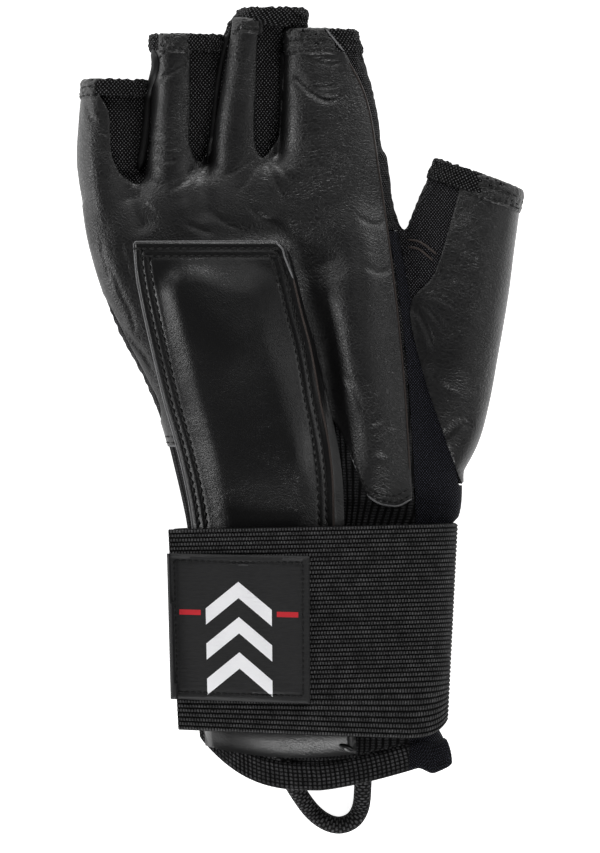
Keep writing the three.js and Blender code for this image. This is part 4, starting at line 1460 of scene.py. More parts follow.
@dataclass
class GloveShell:
    """The glove's panels, cut from one smooth skin.

    Attributes:
        voxel: the skin's grid.
        leather: the leather's inner and outer offset from the skin.
        knit: the knit's inner and outer offset.
        tuck: how far the knit runs under the leather.
        sink: how far the knit between the fingers lies below the leather.
        pieces: the finished panels by name.
    """

    voxel: float = 0.82
    leather: tuple[float, float] = (-0.9, 0.45)
    knit: tuple[float, float] = (-1.5, -0.05)
    tuck: float = 0.8
    sink: float = 1.6
    pieces: dict[str, Piece] = field(default_factory=dict)

    def skin(self) -> Piece:
        """Joins hand, wrist and fingers into one smooth closed form.

        Returns:
            The form.
        """
        rings = []
        for t in np.linspace(0, 1, 9)[:-1]:
            ring = trunk_ring(WRIST_ROW + t * 26)
            start = wrist_end(ring[:, 0], ring_height(ring)) + HEM_BAND
            ring[:, 1] = start + (-86 - start) * t
            rings.append(ring)
        rings += [trunk_ring(y) for y in np.arange(-86, 63, 2.0)]
        for y, inset, back in ((66, 0.6, 5), (70, 1.4, 2), (72.5, 3, 0.8), (74, 5, 0)):
            ring = trunk_ring(y, inset)
            ring[:, 1] = ROOT_LINE["y"] + ROOT_LINE["slope"] * (ring[:, 0] - ROOT_LINE["at_x"]) - back
            rings.append(ring)
        tubes = [tube_piece("trunk", np.array(rings))]
        for digit in (*FINGERS, THUMB):
            end = digit.tip - digit.band + 1.0
            rings = [digit.ring(y) for y in np.linspace(digit.root, end, 30)]
            tubes.append(tube_piece(digit.name, np.array(rings)))
        skin = join(*tubes)
        skin.name = "skin"
        skin.data.remesh_voxel_size = self.voxel * MM
        bpy.ops.object.voxel_remesh()
        modify(skin, "SMOOTH", factor=0.5, iterations=8)
        points = points_of(skin)
        near_roots = smooth_step(points[:, 1], 52, 62) * smooth_step(-points[:, 1], -92, -80)
        weight = near_roots * smooth_step(points[:, 2], 10, 15)
        group = skin.vertex_groups.new(name="roots")
        for level in range(1, 11):
            chosen = np.flatnonzero(np.rint(weight * 10) == level)
            group.add(chosen.tolist(), level / 10, "REPLACE")
        modify(skin, "SMOOTH", factor=0.5, iterations=60, vertex_group="roots")
        return skin

    def layer(self, skin: Piece, inner: float, outer: float) -> Piece:
        """Makes a closed wall between two offsets from the skin.

        Args:
            skin: the skin.
            inner: the inner offset.
            outer: the outer offset.

        Returns:
            The wall.
        """
        points, normals = points_of(skin), normals_of(skin)
        wall, hollow = copy_of(skin, "wall"), copy_of(skin, "hollow")
        place_points(wall, points + outer * normals)
        place_points(hollow, points + inner * normals)
        cut(wall, hollow, "DIFFERENCE")
        drop(hollow)
        return wall

    def panel(self, name: str, wall: Piece, keep: Iterable, leave: Iterable = ()) -> Piece:
        """Cuts one panel from a wall.

        Args:
            name: the panel's name.
            wall: the layer that it is cut from.
            keep: the blocks that it lies in, as outline and floor.
            leave: the blocks of the panels that it leaves free.

        Returns:
            The panel.
        """
        piece = copy_of(wall, name)
        tool = None
        for outline, low in keep:
            part = block("keep", outline, low)
            if tool is None:
                tool = part
            else:
                cut(tool, part, "UNION")
                drop(part)
        for outline, low in leave:
            part = block("leave", outline, low, 70)
            cut(tool, part, "DIFFERENCE")
            drop(part)
        cut(piece, tool, "INTERSECT")
        drop(tool)
        return piece

    def build(self) -> None:
        """Cuts all panels."""
        skin = self.skin()
        leather = self.layer(skin, *self.leather)
        knit = self.layer(skin, *self.knit)
        palm = palm_outline()
        thumb = np.vstack([smooth_line(THUMB_LEATHER), [(84, -27), (84, 84)]])
        everywhere = np.array([(-90, -140), (90, -140), (90, 140), (-90, 140)], float)
        palm_under = (grown(palm, -self.tuck), FRONT_Z + self.tuck)
        thumb_under = (grown(thumb, -self.tuck), FRONT_Z - 3.5 + self.tuck)
        self.pieces["palm_leather"] = self.panel("palm_leather", leather, [(palm, FRONT_Z)])
        self.pieces["thumb_leather"] = self.panel(
            "thumb_leather", leather, [(thumb, FRONT_Z - 3.5)], [(palm, FRONT_Z - 2)]
        )
        taken = [palm_under, thumb_under]
        thumb_back = np.array(
            [(30.5, 56.5), (35.5, 30.0), (44.0, 4.0), (50.6, -27.5), (84, -27.5), (84, 84), (40, 84)], float
        )
        side = gusset_outline()
        wrist = np.array([(-84, -14), (-30, -10), (36, -30), (84, -30), (84, -140), (-84, -140)], float)
        heel = np.array([(-39, 4), (36, 4), (36, -60), (-39, -60)], float)
        panels = [
            ("thumb_knit", [(thumb_back, -2)]),
            ("side_gusset", [(side, 5)]),
            ("cuff", [(wrist, -2.2), (heel, FRONT_Z)]),
        ]
        for i, (left, right) in enumerate(zip(FINGERS, FINGERS[1:])):
            a, b = (float(digit.shape.columns["x"][2]) for digit in (left, right))
            between = np.array([(a, 62), (b, 62), (b, 124), (a, 124)], float)
            front = np.array([(a - 8, 62.5), (b, 62.5), (b, 124.5), (a - 8, 124.5)], float)
            panels.append((f"finger_gusset_{i + 1}", [(between, GUSSET_Z), (front, FRONT_Z - 1)]))
        for name, keep in panels:
            self.pieces[name] = self.panel(name, knit, keep, taken)
            taken = taken + keep
        self.pieces["hand_back"] = self.panel("hand_back", knit, [(everywhere, -5)], taken)
        drop(skin, leather, knit)
        for name, piece in self.pieces.items():
            soften_rim(piece)
            if name != "cuff" and "leather" not in name:
                x, y, z = points_of(piece).T
                wrapped = np.tanh((x + 10) / 10) * (z - 10) if name == "hand_back" else 0
                mark(piece, np.column_stack([x - wrapped, y, 0 * x]))
            points = crumpled(points_of(piece), fine="leather" in name)
            if name.startswith("finger_gusset"):
                points[:, 2] -= self.sink * smooth_step(points[:, 2], 9, 14)
            if name in ("hand_back", "thumb_knit") or name.startswith("finger_gusset"):
                points += 0.16 * soft_noise(points, 2.2, 8)[:, None] * normals_of(piece)
            place_points(piece, points)
        for name in ("palm_leather", "thumb_leather"):
            piece = self.pieces[name]
            mark_grain(piece, grain_at(points_of(piece)))
        cuff = self.pieces["cuff"]
        x, y, z = points_of(cuff).T
        angle = np.arctan2((z - CUFF["axis_z"]) * CUFF["flat"], x - CUFF["axis_x"])
        mark(cuff, np.column_stack([angle * CUFF["radius"], y, z]))

    def dress(self) -> None:
        """Gives each panel its finish."""
        finishes = {
            "palm_leather": Finish.LEATHER, "thumb_leather": Finish.THUMB_LEATHER,
            "thumb_knit": Finish.THUMB_KNIT, "side_gusset": Finish.GUSSET, "cuff": Finish.RIB,
        }
        for name, piece in self.pieces.items():
            smooth_shade(piece, 60)
            dress(piece, finishes.get(name, Finish.KNIT), name)
        self.trim()

    def trim(self) -> None:
        """Adds the welts beside the fingers, the hemmed palm ends and their raw edges."""
        palm = "palm_leather"
        gussets = [f"finger_gusset_{i}" for i in (1, 2, 3)]
        beside_ring = [
            (-51.7, 73.4), (-50.2, 80), (-49.2, 88), (-48.7, 96), (-46.8, 103), (-46.1, 107), (-46.8, 112.4),
        ]
        beside_middle = [(-29.4, 77.6), (-28.2, 84), (-27.4, 92), (-26.6, 100), (-25, 109), (-22.8, 117)]
        Edge("ring_welt", [beside_ring],
             1.55, 0.35, Finish.WELT, 12).build(palm, *gussets)
        Edge("middle_welt", [beside_middle],
             0.95, 0.35, Finish.WELT, 10).build(palm, *gussets)
        seam = smooth_line(PALM_THUMB_SIDE)[4:-10] - (0.45, 0.0)
        Edge("index_side_seam", [seam], 0.26, 0.05, Finish.SEAM).build(palm)
        heel = smooth_line(PALM_HEEL)
        right = heel[(heel[:, 0] > 15.8)]
        left = smooth_line([(-37.5, -15.6), (-42, -15.6), (-46.2, -15.0)])
        Edge("palm_raw_edge", [right + (-0.2, 0.5), left + (0, 0.5)], 0.3, 0.1).build(palm)
        rows = [right + shift for shift in ((-0.6, 1.7), (-1.2, 3.7))]
        rows += [left + shift for shift in ((0, 1.5), (0, 3.4))]
        Seam("palm_stitches", rows, 2.0, 0.28).build(palm)
        rolls = [[(34.1, 50.7), (38.2, 49.8), (43.4, 45.9)], [(34.4, 48.3), (37.8, 47.5), (42.2, 43.9)]]
        Edge("web_piping", rolls, 0.34, 0.1, Finish.SEAM, 8).build(
            "thumb_knit", "side_gusset", "thumb_leather")


@dataclass
class FingerHems:
    """The hems of the five open finger ends, with leather turned over part of them.

    Attributes:
        swell: how far a hem stands proud.
        lump: the size and height of its lumps.
        grain: how strong the turned leather's grain is.
        turned: the turned leather's angles round the finger: where it starts at its foot and at the tip,
            and where it ends.
    """

    swell: float = 0.7
    lump: tuple[float, float] = (1.5, 0.22)
    grain: float = 0.7
    turned: dict[str, tuple[float, float, float]] = field(
        default_factory=lambda: {
            "little": (2.3, 2.3, 3.5), "ring": (1.62, 1.62, 2.74), "middle": (1.56, 1.56, 2.75),
            "index": (1.22, 1.45, 3.0), "thumb": (-0.5, -0.5, 1.62),
        }
    )
    pieces: dict[str, Piece] = field(default_factory=dict)

    def build(self) -> None:
        """Makes the hems."""
        for digit in (*FINGERS, THUMB):
            start, tip = digit.tip - digit.band - 0.3, digit.tip
            profile = [
                (start, -0.1), (start + 0.5, -self.swell * 0.8), (start + 1.4, -self.swell),
                (tip - 1.4, -self.swell), (tip - 0.5, -self.swell * 0.8), (tip, 0.1),
                (tip - 0.1, 0.7), (tip - 0.8, 1.2), (tip - 2.0, 1.4), (start + 0.4, 1.4), (start, 0.8),
            ]
            section = smooth_line(profile, 0.4, closed=True)
            rings = [digit.ring(y, inset, 180) for y, inset in section]
            if digit is MIDDLE:
                rings = [self.widened(ring, start, inset) for ring, (_, inset) in zip(rings, section)]
            piece = hoop_piece(f"{digit.name}_hem", np.array(rings))
            points = points_of(piece)
            points += self.lump[1] * soft_noise(points, self.lump[0], 11)[:, None] * normals_of(piece)
            points[:, 2] = np.maximum(points[:, 2], 0)
            place_points(piece, points)
            self.pieces[digit.name] = piece
            if digit is MIDDLE:
                self.cap(MIDDLE_FRONT, start - 2.6, tip - 3.6)
            else:
                self.cap(digit, start, tip)

    @staticmethod
    def widened(ring: Array, start: float, inset: float) -> Array:
        """Widens the middle finger's hem behind the index finger.

        Args:
            ring: a ring of the hem.
            start: where the hem starts.
            inset: how far the ring is taken in.

        Returns:
            The widened ring.
        """
        y = ring[0, 1]
        wide = MIDDLE.ring(max(y, 121.7), inset, len(ring))
        share = smooth_step(ring[:, 0], -15, -6)
        result = ring + (wide - ring) * share[:, None]
        result[:, 1] = y - 1.1 * share * smooth_step(start + 2.5 - y, 0, 2.5)
        return result

    def cap(self, digit: Digit, start: float, tip: float) -> None:
        """Turns leather over part of a hem.

        Args:
            digit: the finger.
            start: where the hem starts.
            tip: where it ends.
        """
        foot, end, last = self.turned[digit.name]
        low = -self.swell
        profile = [
            (start - 1.2, 0.5), (start - 0.9, -0.35), (start, -0.75), (start + 1.0, low - 0.2),
            (tip - 1.3, low - 0.3), (tip - 0.1, low + 0.15), (tip + 0.25, low + 1.0), (tip, low + 1.5),
            (tip - 0.5, low + 1.2), (tip - 1.2, low + 0.45), (start + 0.6, low + 0.6), (start - 0.4, 0.6),
        ]
        loops = []
        for y, inset in smooth_line(profile, 0.35, closed=True):
            share = np.linspace(0, 1, 90)
            first = foot + (end - foot) * float(np.clip((y - start) / (tip - start), 0, 1))
            turn = np.degrees(first + (last - first) * share) % 360
            outer, inner = (digit.ring(y, gap, 720) for gap in (inset, inset + 0.75))
            marks = (turn * 2).astype(int) % 720
            fade = smooth_step(np.minimum(share, 1 - share), 0, 0.1)[:, None]
            loops.append(inner[marks] + (outer[marks] - inner[marks]) * fade)
        strip = tube_piece(f"{digit.name}_turned_edge", np.array(loops).transpose(1, 0, 2))
        points = points_of(strip)
        points += 0.1 * soft_noise(points, 2.4, 6)[:, None] * normals_of(strip)
        place_points(strip, points)
        mark_grain(strip, np.full(len(points), self.grain))
        smooth_shade(strip, 60)
        dress(strip, Finish.LEATHER)

    def dress(self) -> None:
        """Gives the hems their finish."""
        for name, piece in self.pieces.items():
            smooth_shade(piece, 80)
            dress(piece, Finish.KNIT, f"{name}_hem")
        Edge("index_raw_edge", [[(8.2, 117.6), (10.4, 115), (12.6, 112.2), (14.0, 110.8)]], 0.3, 0.1).build(
            "index_turned_edge", "index_hem")
        Seam("finger_stitches", [
            [(-45.4, 108.2), (-43, 111.0), (-39, 111.6), (-36.6, 110.4), (-35.4, 107.6)],
            [(-21.0, 117.4), (-17.8, 118.0), (-13.4, 117.4)],
            [(-70.6, 96.6), (-68, 96.9), (-64.6, 96.6)],
            [(-70.2, 99.4), (-68, 99.7), (-64.8, 99.4)],
            [(-4.6, 110.4), (4, 110.8), (13.0, 110.6)],
            [(-4.4, 114.0), (4, 114.6), (9.8, 114.2)],
        ], 1.9, 0.3).build(
            "palm_leather", *(f"{name}_turned_edge" for name in ("ring", "middle", "little", "index")))
        Seam("thumb_stitches", [
            [(53.8, 68.6), (57, 67.6), (62.8, 66.8), (69, 64.4)],
            [(53.0, 65.2), (57.4, 63.8), (62.8, 63.0), (69.6, 60.6)],
        ], 2.0, 0.28).build("thumb_leather", "thumb_turned_edge")


@dataclass
class WristEnd:
    """The ribbed band at the wrist end with the side gusset's rounded tab, and the pull loop.

    Attributes:
        swell: how far the band stands proud.
        wall: how far its inner side lies in.
        ribs: its number of ribs.
        rib_depth: how deep they are.
        pieces: the finished pieces by name.
    """

    swell: float = 0.7
    wall: float = 1.6
    ribs: int = 124
    rib_depth: float = 0.34
    pieces: dict[str, Piece] = field(default_factory=dict)

    def build(self) -> None:
        """Makes the band, cuts the tab from it and lays the loop."""
        band = HEM_BAND - 0.2
        profile = [
            (0, 0.3), (0.3, -0.35), (1.3, -self.swell), (band - 1.5, -self.swell), (band - 0.3, -0.3),
            (band, 0.3), (band - 0.2, 1.2), (band - 1.5, self.wall), (1.5, self.wall), (0.3, 1.1),
        ]
        sides = self.ribs * 6
        wave = np.abs(np.sin(np.pi * np.arange(sides) / 6)) - 0.5
        rings = []
        for up, inset in smooth_line(profile, 0.45, closed=True):
            row = WRIST_ROW - 6 + up * 0.7
            ring = trunk_ring(row, inset, sides)
            proud = trunk_ring(row, inset - self.rib_depth, sides)
            share = float(smooth_step(-inset, 0.1, 0.6)) * (0.35 + 0.65 * abs(math.sin(math.pi * up / 1.25)))
            ring = ring + (proud - ring) * (wave * share)[:, None]
            ring[:, 1] = wrist_end(ring[:, 0], ring_height(ring)) + up
            rings.append(ring)
        hoop = hoop_piece("cuff_hem", np.array(rings))
        side = gusset_outline()
        tab = copy_of(hoop, "gusset_hem")
        tool = block("side", side, -4)
        cut(tab, tool, "INTERSECT")
        cut(hoop, tool, "DIFFERENCE")
        drop(tool)
        self.pieces = {"cuff_hem": hoop, "gusset_hem": tab, "pull_loop": self.loop()}

    def loop(self) -> Piece:
        """Sweeps the braided loop along its route."""
        route = smooth_line(LOOP_ROUTE, 0.6)
        return sweep("pull_loop", route, LOOP_DIAMETER / 2, 24)

    def dress(self) -> None:
        """Gives the pieces their finish."""
        finishes = {"cuff_hem": Finish.HEM, "gusset_hem": Finish.GUSSET, "pull_loop": Finish.CORD}
        for name, finish in finishes.items():
            smooth_shade(self.pieces[name], 60)
            dress(self.pieces[name], finish, name)


@dataclass
class SplintCover:
    """The padded leather cover over the splint.

    Attributes:
        rows: the insets of its stitch rows from the edge.
        channel: the depth and width of the channel that a row lies in.
        plateau: the raised part's inset, corner radius and slope.
        strip: the width of its sloped right edge at the top and at the wrist.
        rise: how far the plateau is raised.
        swell: the padding's thickness as cloth, its grid, its pressure and the most that it may swell.
        dents: soft bumps and dents of the padding: middle, half sizes, lift.
    """

    rows: tuple[float, float] = (2.6, 5.0)
    channel: tuple[float, float] = (0.4, 0.55)
    plateau: tuple[float, float, float] = (5.6, 12.5, 7.6)
    strip: tuple[float, float] = (0.7, 3.0)
    rise: float = 2.2
    swell: tuple[float, float, float, float] = (7.0, 4.0, 4.0, 1.1)
    dents: Sequence[tuple[float, float, float, float, float]] = (
        (2, -19, 6, 15, 1.1), (-13, 1, 8, 13, -0.9), (-22, 15, 8, 9, 0.5), (-17, 31, 9, 9, -0.4),
    )
    pieces: dict[str, Piece] = field(default_factory=dict)

    def thickness(self, left: Array, right: Array, top: float) -> Array:
        """Returns how thick the cover is.

        Args:
            left: the distances to its left edge.
            right: the distances to its right edge.
            top: the distance to its top edge.

        Returns:
            The thickness at each point.
        """
        inset, radius, slope = self.plateau
        lean = smooth_step(left - right, -12, 12)
        sides = np.minimum(left, right + 1.5)
        dx = np.maximum(radius - (sides - inset), 0)
        dy = max(radius - (top - inset), 0)
        inside = radius - np.hypot(dx, dy)
        rise = self.rise * smooth_step(inside, -0.4, slope + 4.5 * lean)
        rim = np.sqrt(np.clip(np.minimum(left, top) / 0.9, 0.02, 1))
        strip = self.strip_width(top)
        slant = 0.15 + 0.62 * np.clip(right / strip, 0, 1) + 0.23 * smooth_step(right, strip, strip + 0.5)
        body = COVER["flange"] * np.minimum(rim, slant)
        nearest = np.minimum(np.minimum(left, right - strip), top)
        corner = COVER["right_corner"]
        across, along = np.maximum(corner + strip - right, 0), max(corner - top, 0)
        nearest = np.where(across * along > 0, corner - np.hypot(across, along), nearest)
        for row in self.rows:
            body = body - self.channel[0] * np.exp(-(((nearest - row) / self.channel[1]) ** 2))
        return body + rise

    def strip_width(self, down: Array | float) -> Array:
        """Returns how wide the sloped right edge is at distances down from the top edge."""
        return self.strip[0] + (self.strip[1] - self.strip[0]) * smooth_step(down, 4, 92)

    @staticmethod
    def corner_cut(radius: float, down: float) -> float:
        """Returns how much a round corner takes off the width at a distance down from the top edge."""
        near = max(0.0, radius - down)
        return radius - math.sqrt(radius**2 - near**2)

    def swelling(self, spots: Array) -> Array:
        """Blows up a copy of the padding as cloth.

        Args:
            spots: where the swelling is read, a grid of rows.

        Returns:
            How far the padding's upper side swells at each spot.
        """
        result = np.zeros(spots.shape[:2])
        thick, grid, pressure, most = self.swell
        inset, _, slope = self.plateau
        rows = np.arange(-39, COVER_ROWS.key[-1] - inset - slope / 2, 3.0)
        left, right = (COVER_ROWS.at(name, rows) for name in ("left", "right"))
        reach = inset + slope / 2
        sides = [np.column_stack([left + reach, rows]), np.column_stack([right - reach, rows])[::-1]]
        outline = np.vstack(sides)
        pad = block("padding", outline, 0, thick)
        pad.data.remesh_voxel_size = grid * MM
        bpy.ops.object.voxel_remesh()
        rest = points_of(pad)
        held = pad.vertex_groups.new(name="held")
        held.add(np.flatnonzero(rest[:, 2] < thick / 3).tolist(), 1.0, "REPLACE")
        cloth = pad.modifiers.new("cloth", "CLOTH")
        cloth.settings.use_pressure = True
        cloth.settings.uniform_pressure_force = pressure
        cloth.settings.vertex_group_mass = held.name
        cloth.settings.effector_weights.gravity = 0
        for number in range(1, 21):
            bpy.context.scene.frame_set(number)
        pick(pad)
        bpy.ops.object.modifier_apply(modifier=cloth.name)
        bpy.context.scene.frame_set(1)
        move = points_of(pad) - rest
        far = np.linalg.norm(move, axis=1, keepdims=True)
        place_points(pad, rest + move * np.minimum(1, most / np.maximum(far, 1e-6)))
        modify(pad, "SUBSURF", levels=1)
        DRESSED[pad.name] = pad
        found = heights(spots.reshape(-1, 2), pad.name).reshape(result.shape)
        drop(DRESSED.pop(pad.name))
        result = np.clip(found - thick, 0, most)
        for _ in range(3):
            result = np.array([steadied(row, 3) for row in result])
            result = np.array([steadied(row, 3) for row in result.T]).T
        LOG.info("padding: swells by up to %.2f mm", result.max())
        return result

    def build(self) -> None:
        """Sweeps the cover's section along the hand."""
        top, bottom = float(COVER_ROWS.key[-1]), float(COVER_ROWS.key[0])
        rim = top - np.array([0, 0.12, 0.3, 0.55, 0.9, 1.4])
        places = np.r_[rim, np.arange(top - 2, bottom, -0.75), bottom]
        stops = np.r_[
            np.linspace(0, 1, 6)[:-1], 1 + np.linspace(0, 1, 3)[:-1], 2 + np.linspace(0, 1, 19)[:-1],
            3 + np.linspace(0, 1, 41)[:-1], 4 + np.linspace(0, 1, 19)[:-1], 5 + np.linspace(0, 1, 7),
        ]
        rows, shares = [], []
        for y in places:
            left, right = float(COVER_ROWS.at("left", y)), float(COVER_ROWS.at("right", y))
            cut_left, cut_right = (
                self.corner_cut(COVER[f"{side}_corner"], top - y) for side in ("left", "right")
            )
            width = right - left - cut_left - cut_right
            strip = float(self.strip_width(top - y))
            marks = [0, strip, strip + 0.5, strip + 8, width - 7.5, width - 0.9, width]
            share = np.interp(stops, np.arange(7), marks) / width
            shares.append(share)
            rows.append(np.column_stack([right - cut_right - width * share, np.full(len(share), y)]))
        spots = np.array(rows)
        rings = []
        for y, spots_here, swell, share in zip(places, spots, self.swelling(spots), shares):
            x = spots_here[:, 0]
            left, right = float(COVER_ROWS.at("left", y)), float(COVER_ROWS.at("right", y))
            bow = (2.4 * share * (1 - share) * 4 - 2.2 * share) * float(smooth_step(-y, 95, -bottom))
            ring = trunk_ring(float(y), 0, 160)[:81]
            under = np.interp(-x, -ring[:, 0], ring[:, 2])
            pressed = float(smooth_step(-y, 20, 46))
            thick = self.thickness(x - left, right - x, max(top - y, 0.0) + 0.05) + swell * (1 - pressed)
            raised = np.clip((thick - COVER["flange"]) / self.rise, 0, 1)
            thick = thick - (self.rise - COVER["wrist_rise"]) * pressed * raised
            plain = float(smooth_step(-y, 97, 101))
            even = (COVER["flange"] + 1.2) * np.sqrt(np.clip(np.minimum(x - left, right - x) / 2.4, 0.02, 1))
            thick = thick + (even - thick) * plain - 2.0 * float(smooth_step(-y, -bottom - 8, -bottom))
            inner = smooth_step(right - x, 6, 14)
            for px, py, wide, tall, lift in self.dents:
                near = np.exp(-(((x - px) / wide) ** 2) - (((y - py) / tall) ** 2))
                thick += lift * (1 - pressed) * near * inner
            base = under + COVER["lift"] + 1.1 * float(smooth_step(-y, 90, 98))
            upper = np.stack([x, y - bow, base + np.maximum(thick, 0.15)], axis=1)
            sunk = 0.8 * FOLDS[0].at(spots_here) * (1 - pressed)
            lower = np.stack([x, y - bow, base - 0.2 + sunk], axis=1)[1:-1][::-1]
            rings.append(np.vstack([upper, lower]))
        self.pieces["splint_cover"] = tube_piece("splint_cover", np.array(rings))

    def border(self, inset: float) -> list[tuple[float, float]]:
        """Draws the line inside the cover's edge, from its lower left round to its lower right.

        Args:
            inset: how far inside the edge it runs.

        Returns:
            The line's points.
        """
        top = float(COVER_ROWS.key[-1])
        rows = np.arange(-46, top - inset - 8, 4.0)
        left = [(float(COVER_ROWS.at("left", y)) + inset, float(y)) for y in rows]
        strip = self.strip_width(top - rows)
        right = [
            (float(COVER_ROWS.at("right", y)) - inset - float(s), float(y)) for y, s in zip(rows, strip)
        ][::-1]
        across = []
        for side, name, turns in ((1, "left", (180, 150, 120, 90)), (-1, "right", (90, 60, 30, 0))):
            radius = COVER[f"{name}_corner"]
            small = max(radius - inset, 0.7)
            middle_x = float(COVER_ROWS.at(name, top)) + side * max(radius, inset + 0.7)
            middle_y = top - max(radius, inset + 0.7)
            for turn in map(math.radians, turns):
                across.append((middle_x + small * math.cos(turn), middle_y + small * math.sin(turn)))
        return left + across + right

    def dress(self) -> None:
        """Gives the cover its finish."""
        piece = self.pieces["splint_cover"]
        smooth_shade(piece, 60)
        dress(piece, Finish.COVER, "splint_cover")
        Seam("cover_stitches", [self.border(row) for row in self.rows], radius=0.42).build("splint_cover")
        edge = self.border(0.4)
        corner = edge.index(max(edge, key=lambda spot: spot[0] + 4 * spot[1])) + 4
        Edge("cover_raw_edge", [edge[: corner + 1]], 0.3, 0.05).build("splint_cover")
        Edge("cover_side_edge", [edge[corner:]], 0.34, 0.05, Finish.SEAM).build("splint_cover")
        end_roll = [(12.4, -110.2), (14.6, -111.2), (17.6, -112.6)]
        Edge("cover_end_roll", [end_roll], 1.15, 0.1, Finish.COVER, 12).build("splint_cover")


@dataclass
class WristStrap:
    """The wide woven elastic wrap with its label.

    Attributes:
        ribs: the number of ribs across its width.
        rib_depth: how deep they are.
        step: the length of a face along it.
        pieces: the finished pieces by name.
    """

    ribs: int = 46
    rib_depth: float = 0.38
    step: float = 1.5
    pieces: dict[str, Piece] = field(default_factory=dict)

    def line(self, y: float) -> Array:
        """Draws the strap's middle line round the wrist.

        Args:
            y: where along the wrist.

        Returns:
            The line's X and Z.
        """
        share = (STRAP["top"] - y) / (STRAP["top"] - STRAP["bottom"])
        narrow = 1 + (STRAP["taper"] - 1) * share
        line = smooth_line(STRAP_ROUTE, self.step)
        x = STRAP["axis_x"] + (line[:, 0] - STRAP["axis_x"]) * narrow
        return np.stack([x, np.maximum(line[:, 1], STRAP["thick"] / 2)], axis=1)

    @staticmethod
    def outward(line: Array) -> Array:
        """Returns the outward direction along a line round the wrist."""
        along = np.gradient(line, axis=0)
        along /= np.linalg.norm(along, axis=1, keepdims=True)
        return np.stack([along[:, 1], -along[:, 0]], axis=1)

    def face(self, y: float, lift: float) -> Array:
        """Returns a row of points on the strap at a height y, lifted off its middle."""
        line = self.line(y)
        moved = line + lift * self.outward(line)
        sag = smooth_step(line[:, 1], 16, 29) * np.clip((line[:, 0] + 44) / 78, 0, 1)
        bow = STRAP["bow"] * sag * float(smooth_step(-y, 88, -STRAP["bottom"]))
        tilt = STRAP["tilt"] * (moved[:, 0] + 42)
        return np.stack([moved[:, 0], y - bow + tilt, np.maximum(moved[:, 1], 0)], axis=1)

    def build(self) -> None:
        """Makes the strap and its label."""
        half = STRAP["thick"] / 2
        height = STRAP["top"] - STRAP["bottom"]
        steps = self.ribs * 6
        outer, inner, lay = [], [], []
        for k in range(steps + 1):
            v = k / steps
            y = STRAP["bottom"] + v * height
            rib = self.rib_depth * abs(math.sin(math.pi * self.ribs * v)) ** 0.7
            edge = min(v, 1 - v) * height
            lip = half * math.sqrt(max(0.05, min(1, edge / 0.9)))
            outer.append(self.face(y, lip - self.rib_depth + rib))
            if k % 6 == 0:
                inner.append(self.face(y, -lip))
        rows = np.array(inner[::-1] + outer)
        marks = np.r_[np.arange(len(inner))[::-1] * 6.0, np.arange(len(outer))] * height / steps
        ends = np.concatenate([rows, rows[:1]])
        marks = np.r_[marks, marks[0]]
        columns = ends.shape[1] - 1

        def place(u: Array, v: Array) -> Array:
            """Puts each grid point on its row of the strap."""
            return ends[np.rint(v * (len(ends) - 1)).astype(int), np.rint(u * columns).astype(int)]

        def lay_in(u: Array, v: Array) -> Array:
            """Gives each grid point its place in the weave."""
            along = marks[np.rint(v * (len(ends) - 1)).astype(int)]
            return np.stack([u * columns * self.step, along, 0 * u], axis=1)

        self.pieces["wrist_strap"] = grid_piece("wrist_strap", columns, len(ends) - 1, place, lay=lay_in)
        self.pieces["strap_label"] = self.label()

    def label(self, steps: int = 72) -> Piece:
        """Makes the square label with its turned edge.

        Args:
            steps: its number of faces across.

        Returns:
            The label.
        """
        a, b, c, d = (np.array(p, float) for p in LABEL_CORNERS)
        share = np.r_[0, 0.006, 0.014, np.linspace(0.025, 0.975, steps - 6), 0.986, 0.994, 1]
        u, v = (m.ravel() for m in np.meshgrid(share, share))
        spots = (
            ((1 - u) * v)[:, None] * a + (u * v)[:, None] * b + (u * (1 - v))[:, None] * c
            + ((1 - u) * (1 - v))[:, None] * d
        )
        DRESSED["wrist_strap"] = self.pieces["wrist_strap"]
        low = heights(spots, "wrist_strap")
        low = np.where(low < 20, np.nanmax(low), low)
        edge = np.minimum(np.minimum(u, 1 - u), np.minimum(v, 1 - v)) * LABEL_SIDE
        thick = 1.1 * np.sqrt(np.clip(edge / 0.9, 0.02, 1)) - 0.3 * np.exp(-(((edge - 2.3) / 0.5) ** 2))
        count = len(share)
        upper = np.column_stack([spots, low + 0.15 + thick]).reshape(count, count, 3)
        lower = np.column_stack([spots, low + 0.1]).reshape(count, count, 3)
        rings = np.concatenate([upper, lower[:, 1:-1][:, ::-1]], axis=1)
        flat = np.stack([u * LABEL_SIDE, v * LABEL_SIDE, 0 * u], axis=1).reshape(count, count, 3)
        marks = np.concatenate([flat, flat[:, 1:-1][:, ::-1]], axis=1)
        sides = rings.shape[1]

        def place(p: Array, q: Array) -> Array:
            """Puts each grid point on the label."""
            return rings[np.rint(q * (count - 1)).astype(int), np.rint(p * sides).astype(int) % sides]

        def lay_in(p: Array, q: Array) -> Array:
            """Gives each grid point its place in the label's cloth."""
            return marks[np.rint(q * (count - 1)).astype(int), np.rint(p * sides).astype(int) % sides]

        return grid_piece("strap_label", sides, count - 1, place, lay=lay_in)

    def dress(self) -> None:
        """Gives strap and label their finish."""
        for name, finish in (("wrist_strap", Finish.ELASTIC), ("strap_label", Finish.LABEL)):
            smooth_shade(self.pieces[name], 60)
            dress(self.pieces[name], finish, name)
        corners = np.array(LABEL_CORNERS, float)
        middle = corners.mean(axis=0)
        inner = middle + (corners - middle) * 0.9
        rows = [[inner[i], (inner[i] + inner[(i + 1) % 4]) / 2, inner[(i + 1) % 4]] for i in range(4)]
        Seam("label_stitches", rows, 2.0, 0.26).build("strap_label")


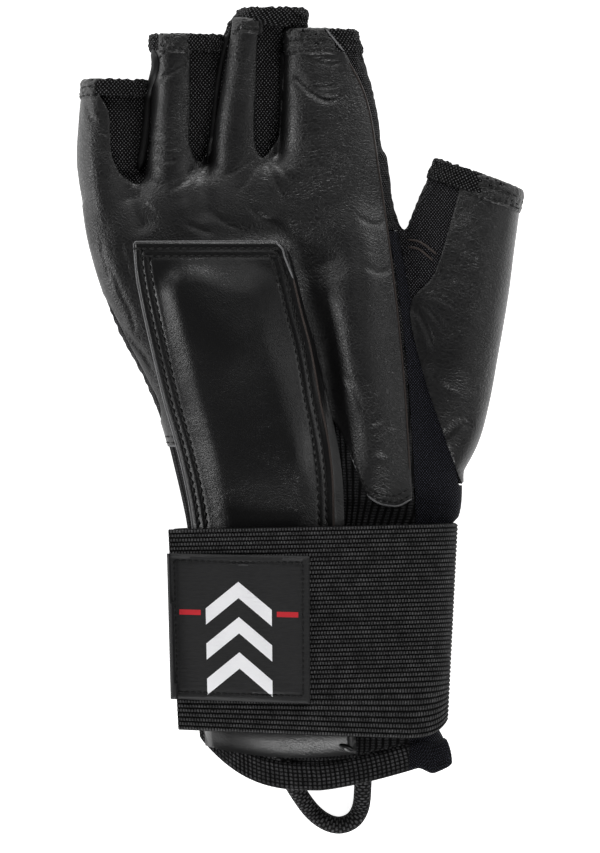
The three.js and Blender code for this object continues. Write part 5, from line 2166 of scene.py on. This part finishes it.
@dataclass
class Studio:
    """A pale floor, a ring of low soft lights and a long lens straight above.

    Attributes:
        distance: how far up the camera is.
        frame_height: the height that it sees, at the level of reference.
        reference: that level.
        centre: the picture's middle.
        reach: the lights' distance.
        spread: their size.
        lights: their direction round the glove and above the floor in degrees, and their power.
    """

    distance: float = 2.4
    frame_height: float = 0.27296
    reference: float = 0.012
    centre: tuple[float, float] = (-0.00016, -0.00896)
    reach: float = 1.9
    spread: float = 0.7
    lights: Sequence[tuple[float, float, float]] = (
        (0, 32, 3.3), (45, 14, 9.5), (90, 14, 14.5), (90, 55, 1.8), (135, 14, 7.5), (180, 14, 13.5),
        (225, 14, 3.3),
        (270, 14, 9.5), (270, 32, 20), (270, 55, 0.6), (0, 60, 1.8),
    )

    def build(self) -> None:
        """Sets the floor, the lights, the world and the camera."""
        deselect_all()
        bpy.ops.mesh.primitive_plane_add(size=8, location=(0, 0, 0))
        floor = bpy.context.object
        floor.name = "floor"
        floor.location.z = -0.0002
        sheet = NodeSheet("paper")
        floor.data.materials.append(
            sheet.finish(
                Base_Color=(0.9, 0.9, 0.9, 1), Roughness=0.9, Specular_IOR_Level=0.1,
                Emission_Color=(1, 1, 1, 1), Emission_Strength=0.95,
            )
        )
        for around, above, power in self.lights:
            light = bpy.data.lights.new("light", "AREA")
            light.size = self.spread
            light.energy = power
            lamp = bpy.data.objects.new("light", light)
            turn, lift = math.radians(around), math.radians(above)
            lamp.location = (
                self.reach * math.cos(lift) * math.cos(turn), self.reach * math.cos(lift) * math.sin(turn),
                self.reach * math.sin(lift),
            )
            lamp.rotation_euler = (math.pi / 2 - lift, 0, turn + math.pi / 2)
            bpy.context.scene.collection.objects.link(lamp)
        world = bpy.data.worlds.new("studio")
        world.use_nodes = True
        world.node_tree.nodes["Background"].inputs[0].default_value = (1, 1, 1, 1)
        world.node_tree.nodes["Background"].inputs[1].default_value = 0.065
        bpy.context.scene.world = world
        lens = bpy.data.cameras.new("camera")
        lens.sensor_fit = "VERTICAL"
        lens.sensor_height = 36
        lens.lens = 36 * (self.distance - self.reference) / self.frame_height
        lens.clip_end = 20
        camera = bpy.data.objects.new("camera", lens)
        camera.location = (*self.centre, self.distance)
        bpy.context.scene.collection.objects.link(camera)
        bpy.context.scene.camera = camera
        bpy.context.scene.view_settings.view_transform = "Standard"


def main() -> None:
    """Builds the glove piece by piece."""
    logging.basicConfig(level=logging.INFO, format="%(name)s %(message)s", stream=sys.stdout)
    Studio().build()
    for maker in (WristEnd(), GloveShell(), FingerHems(), SplintCover(), WristStrap()):
        maker.build()
        maker.dress()
    deselect_all()


if __name__ == "__main__":
    main()
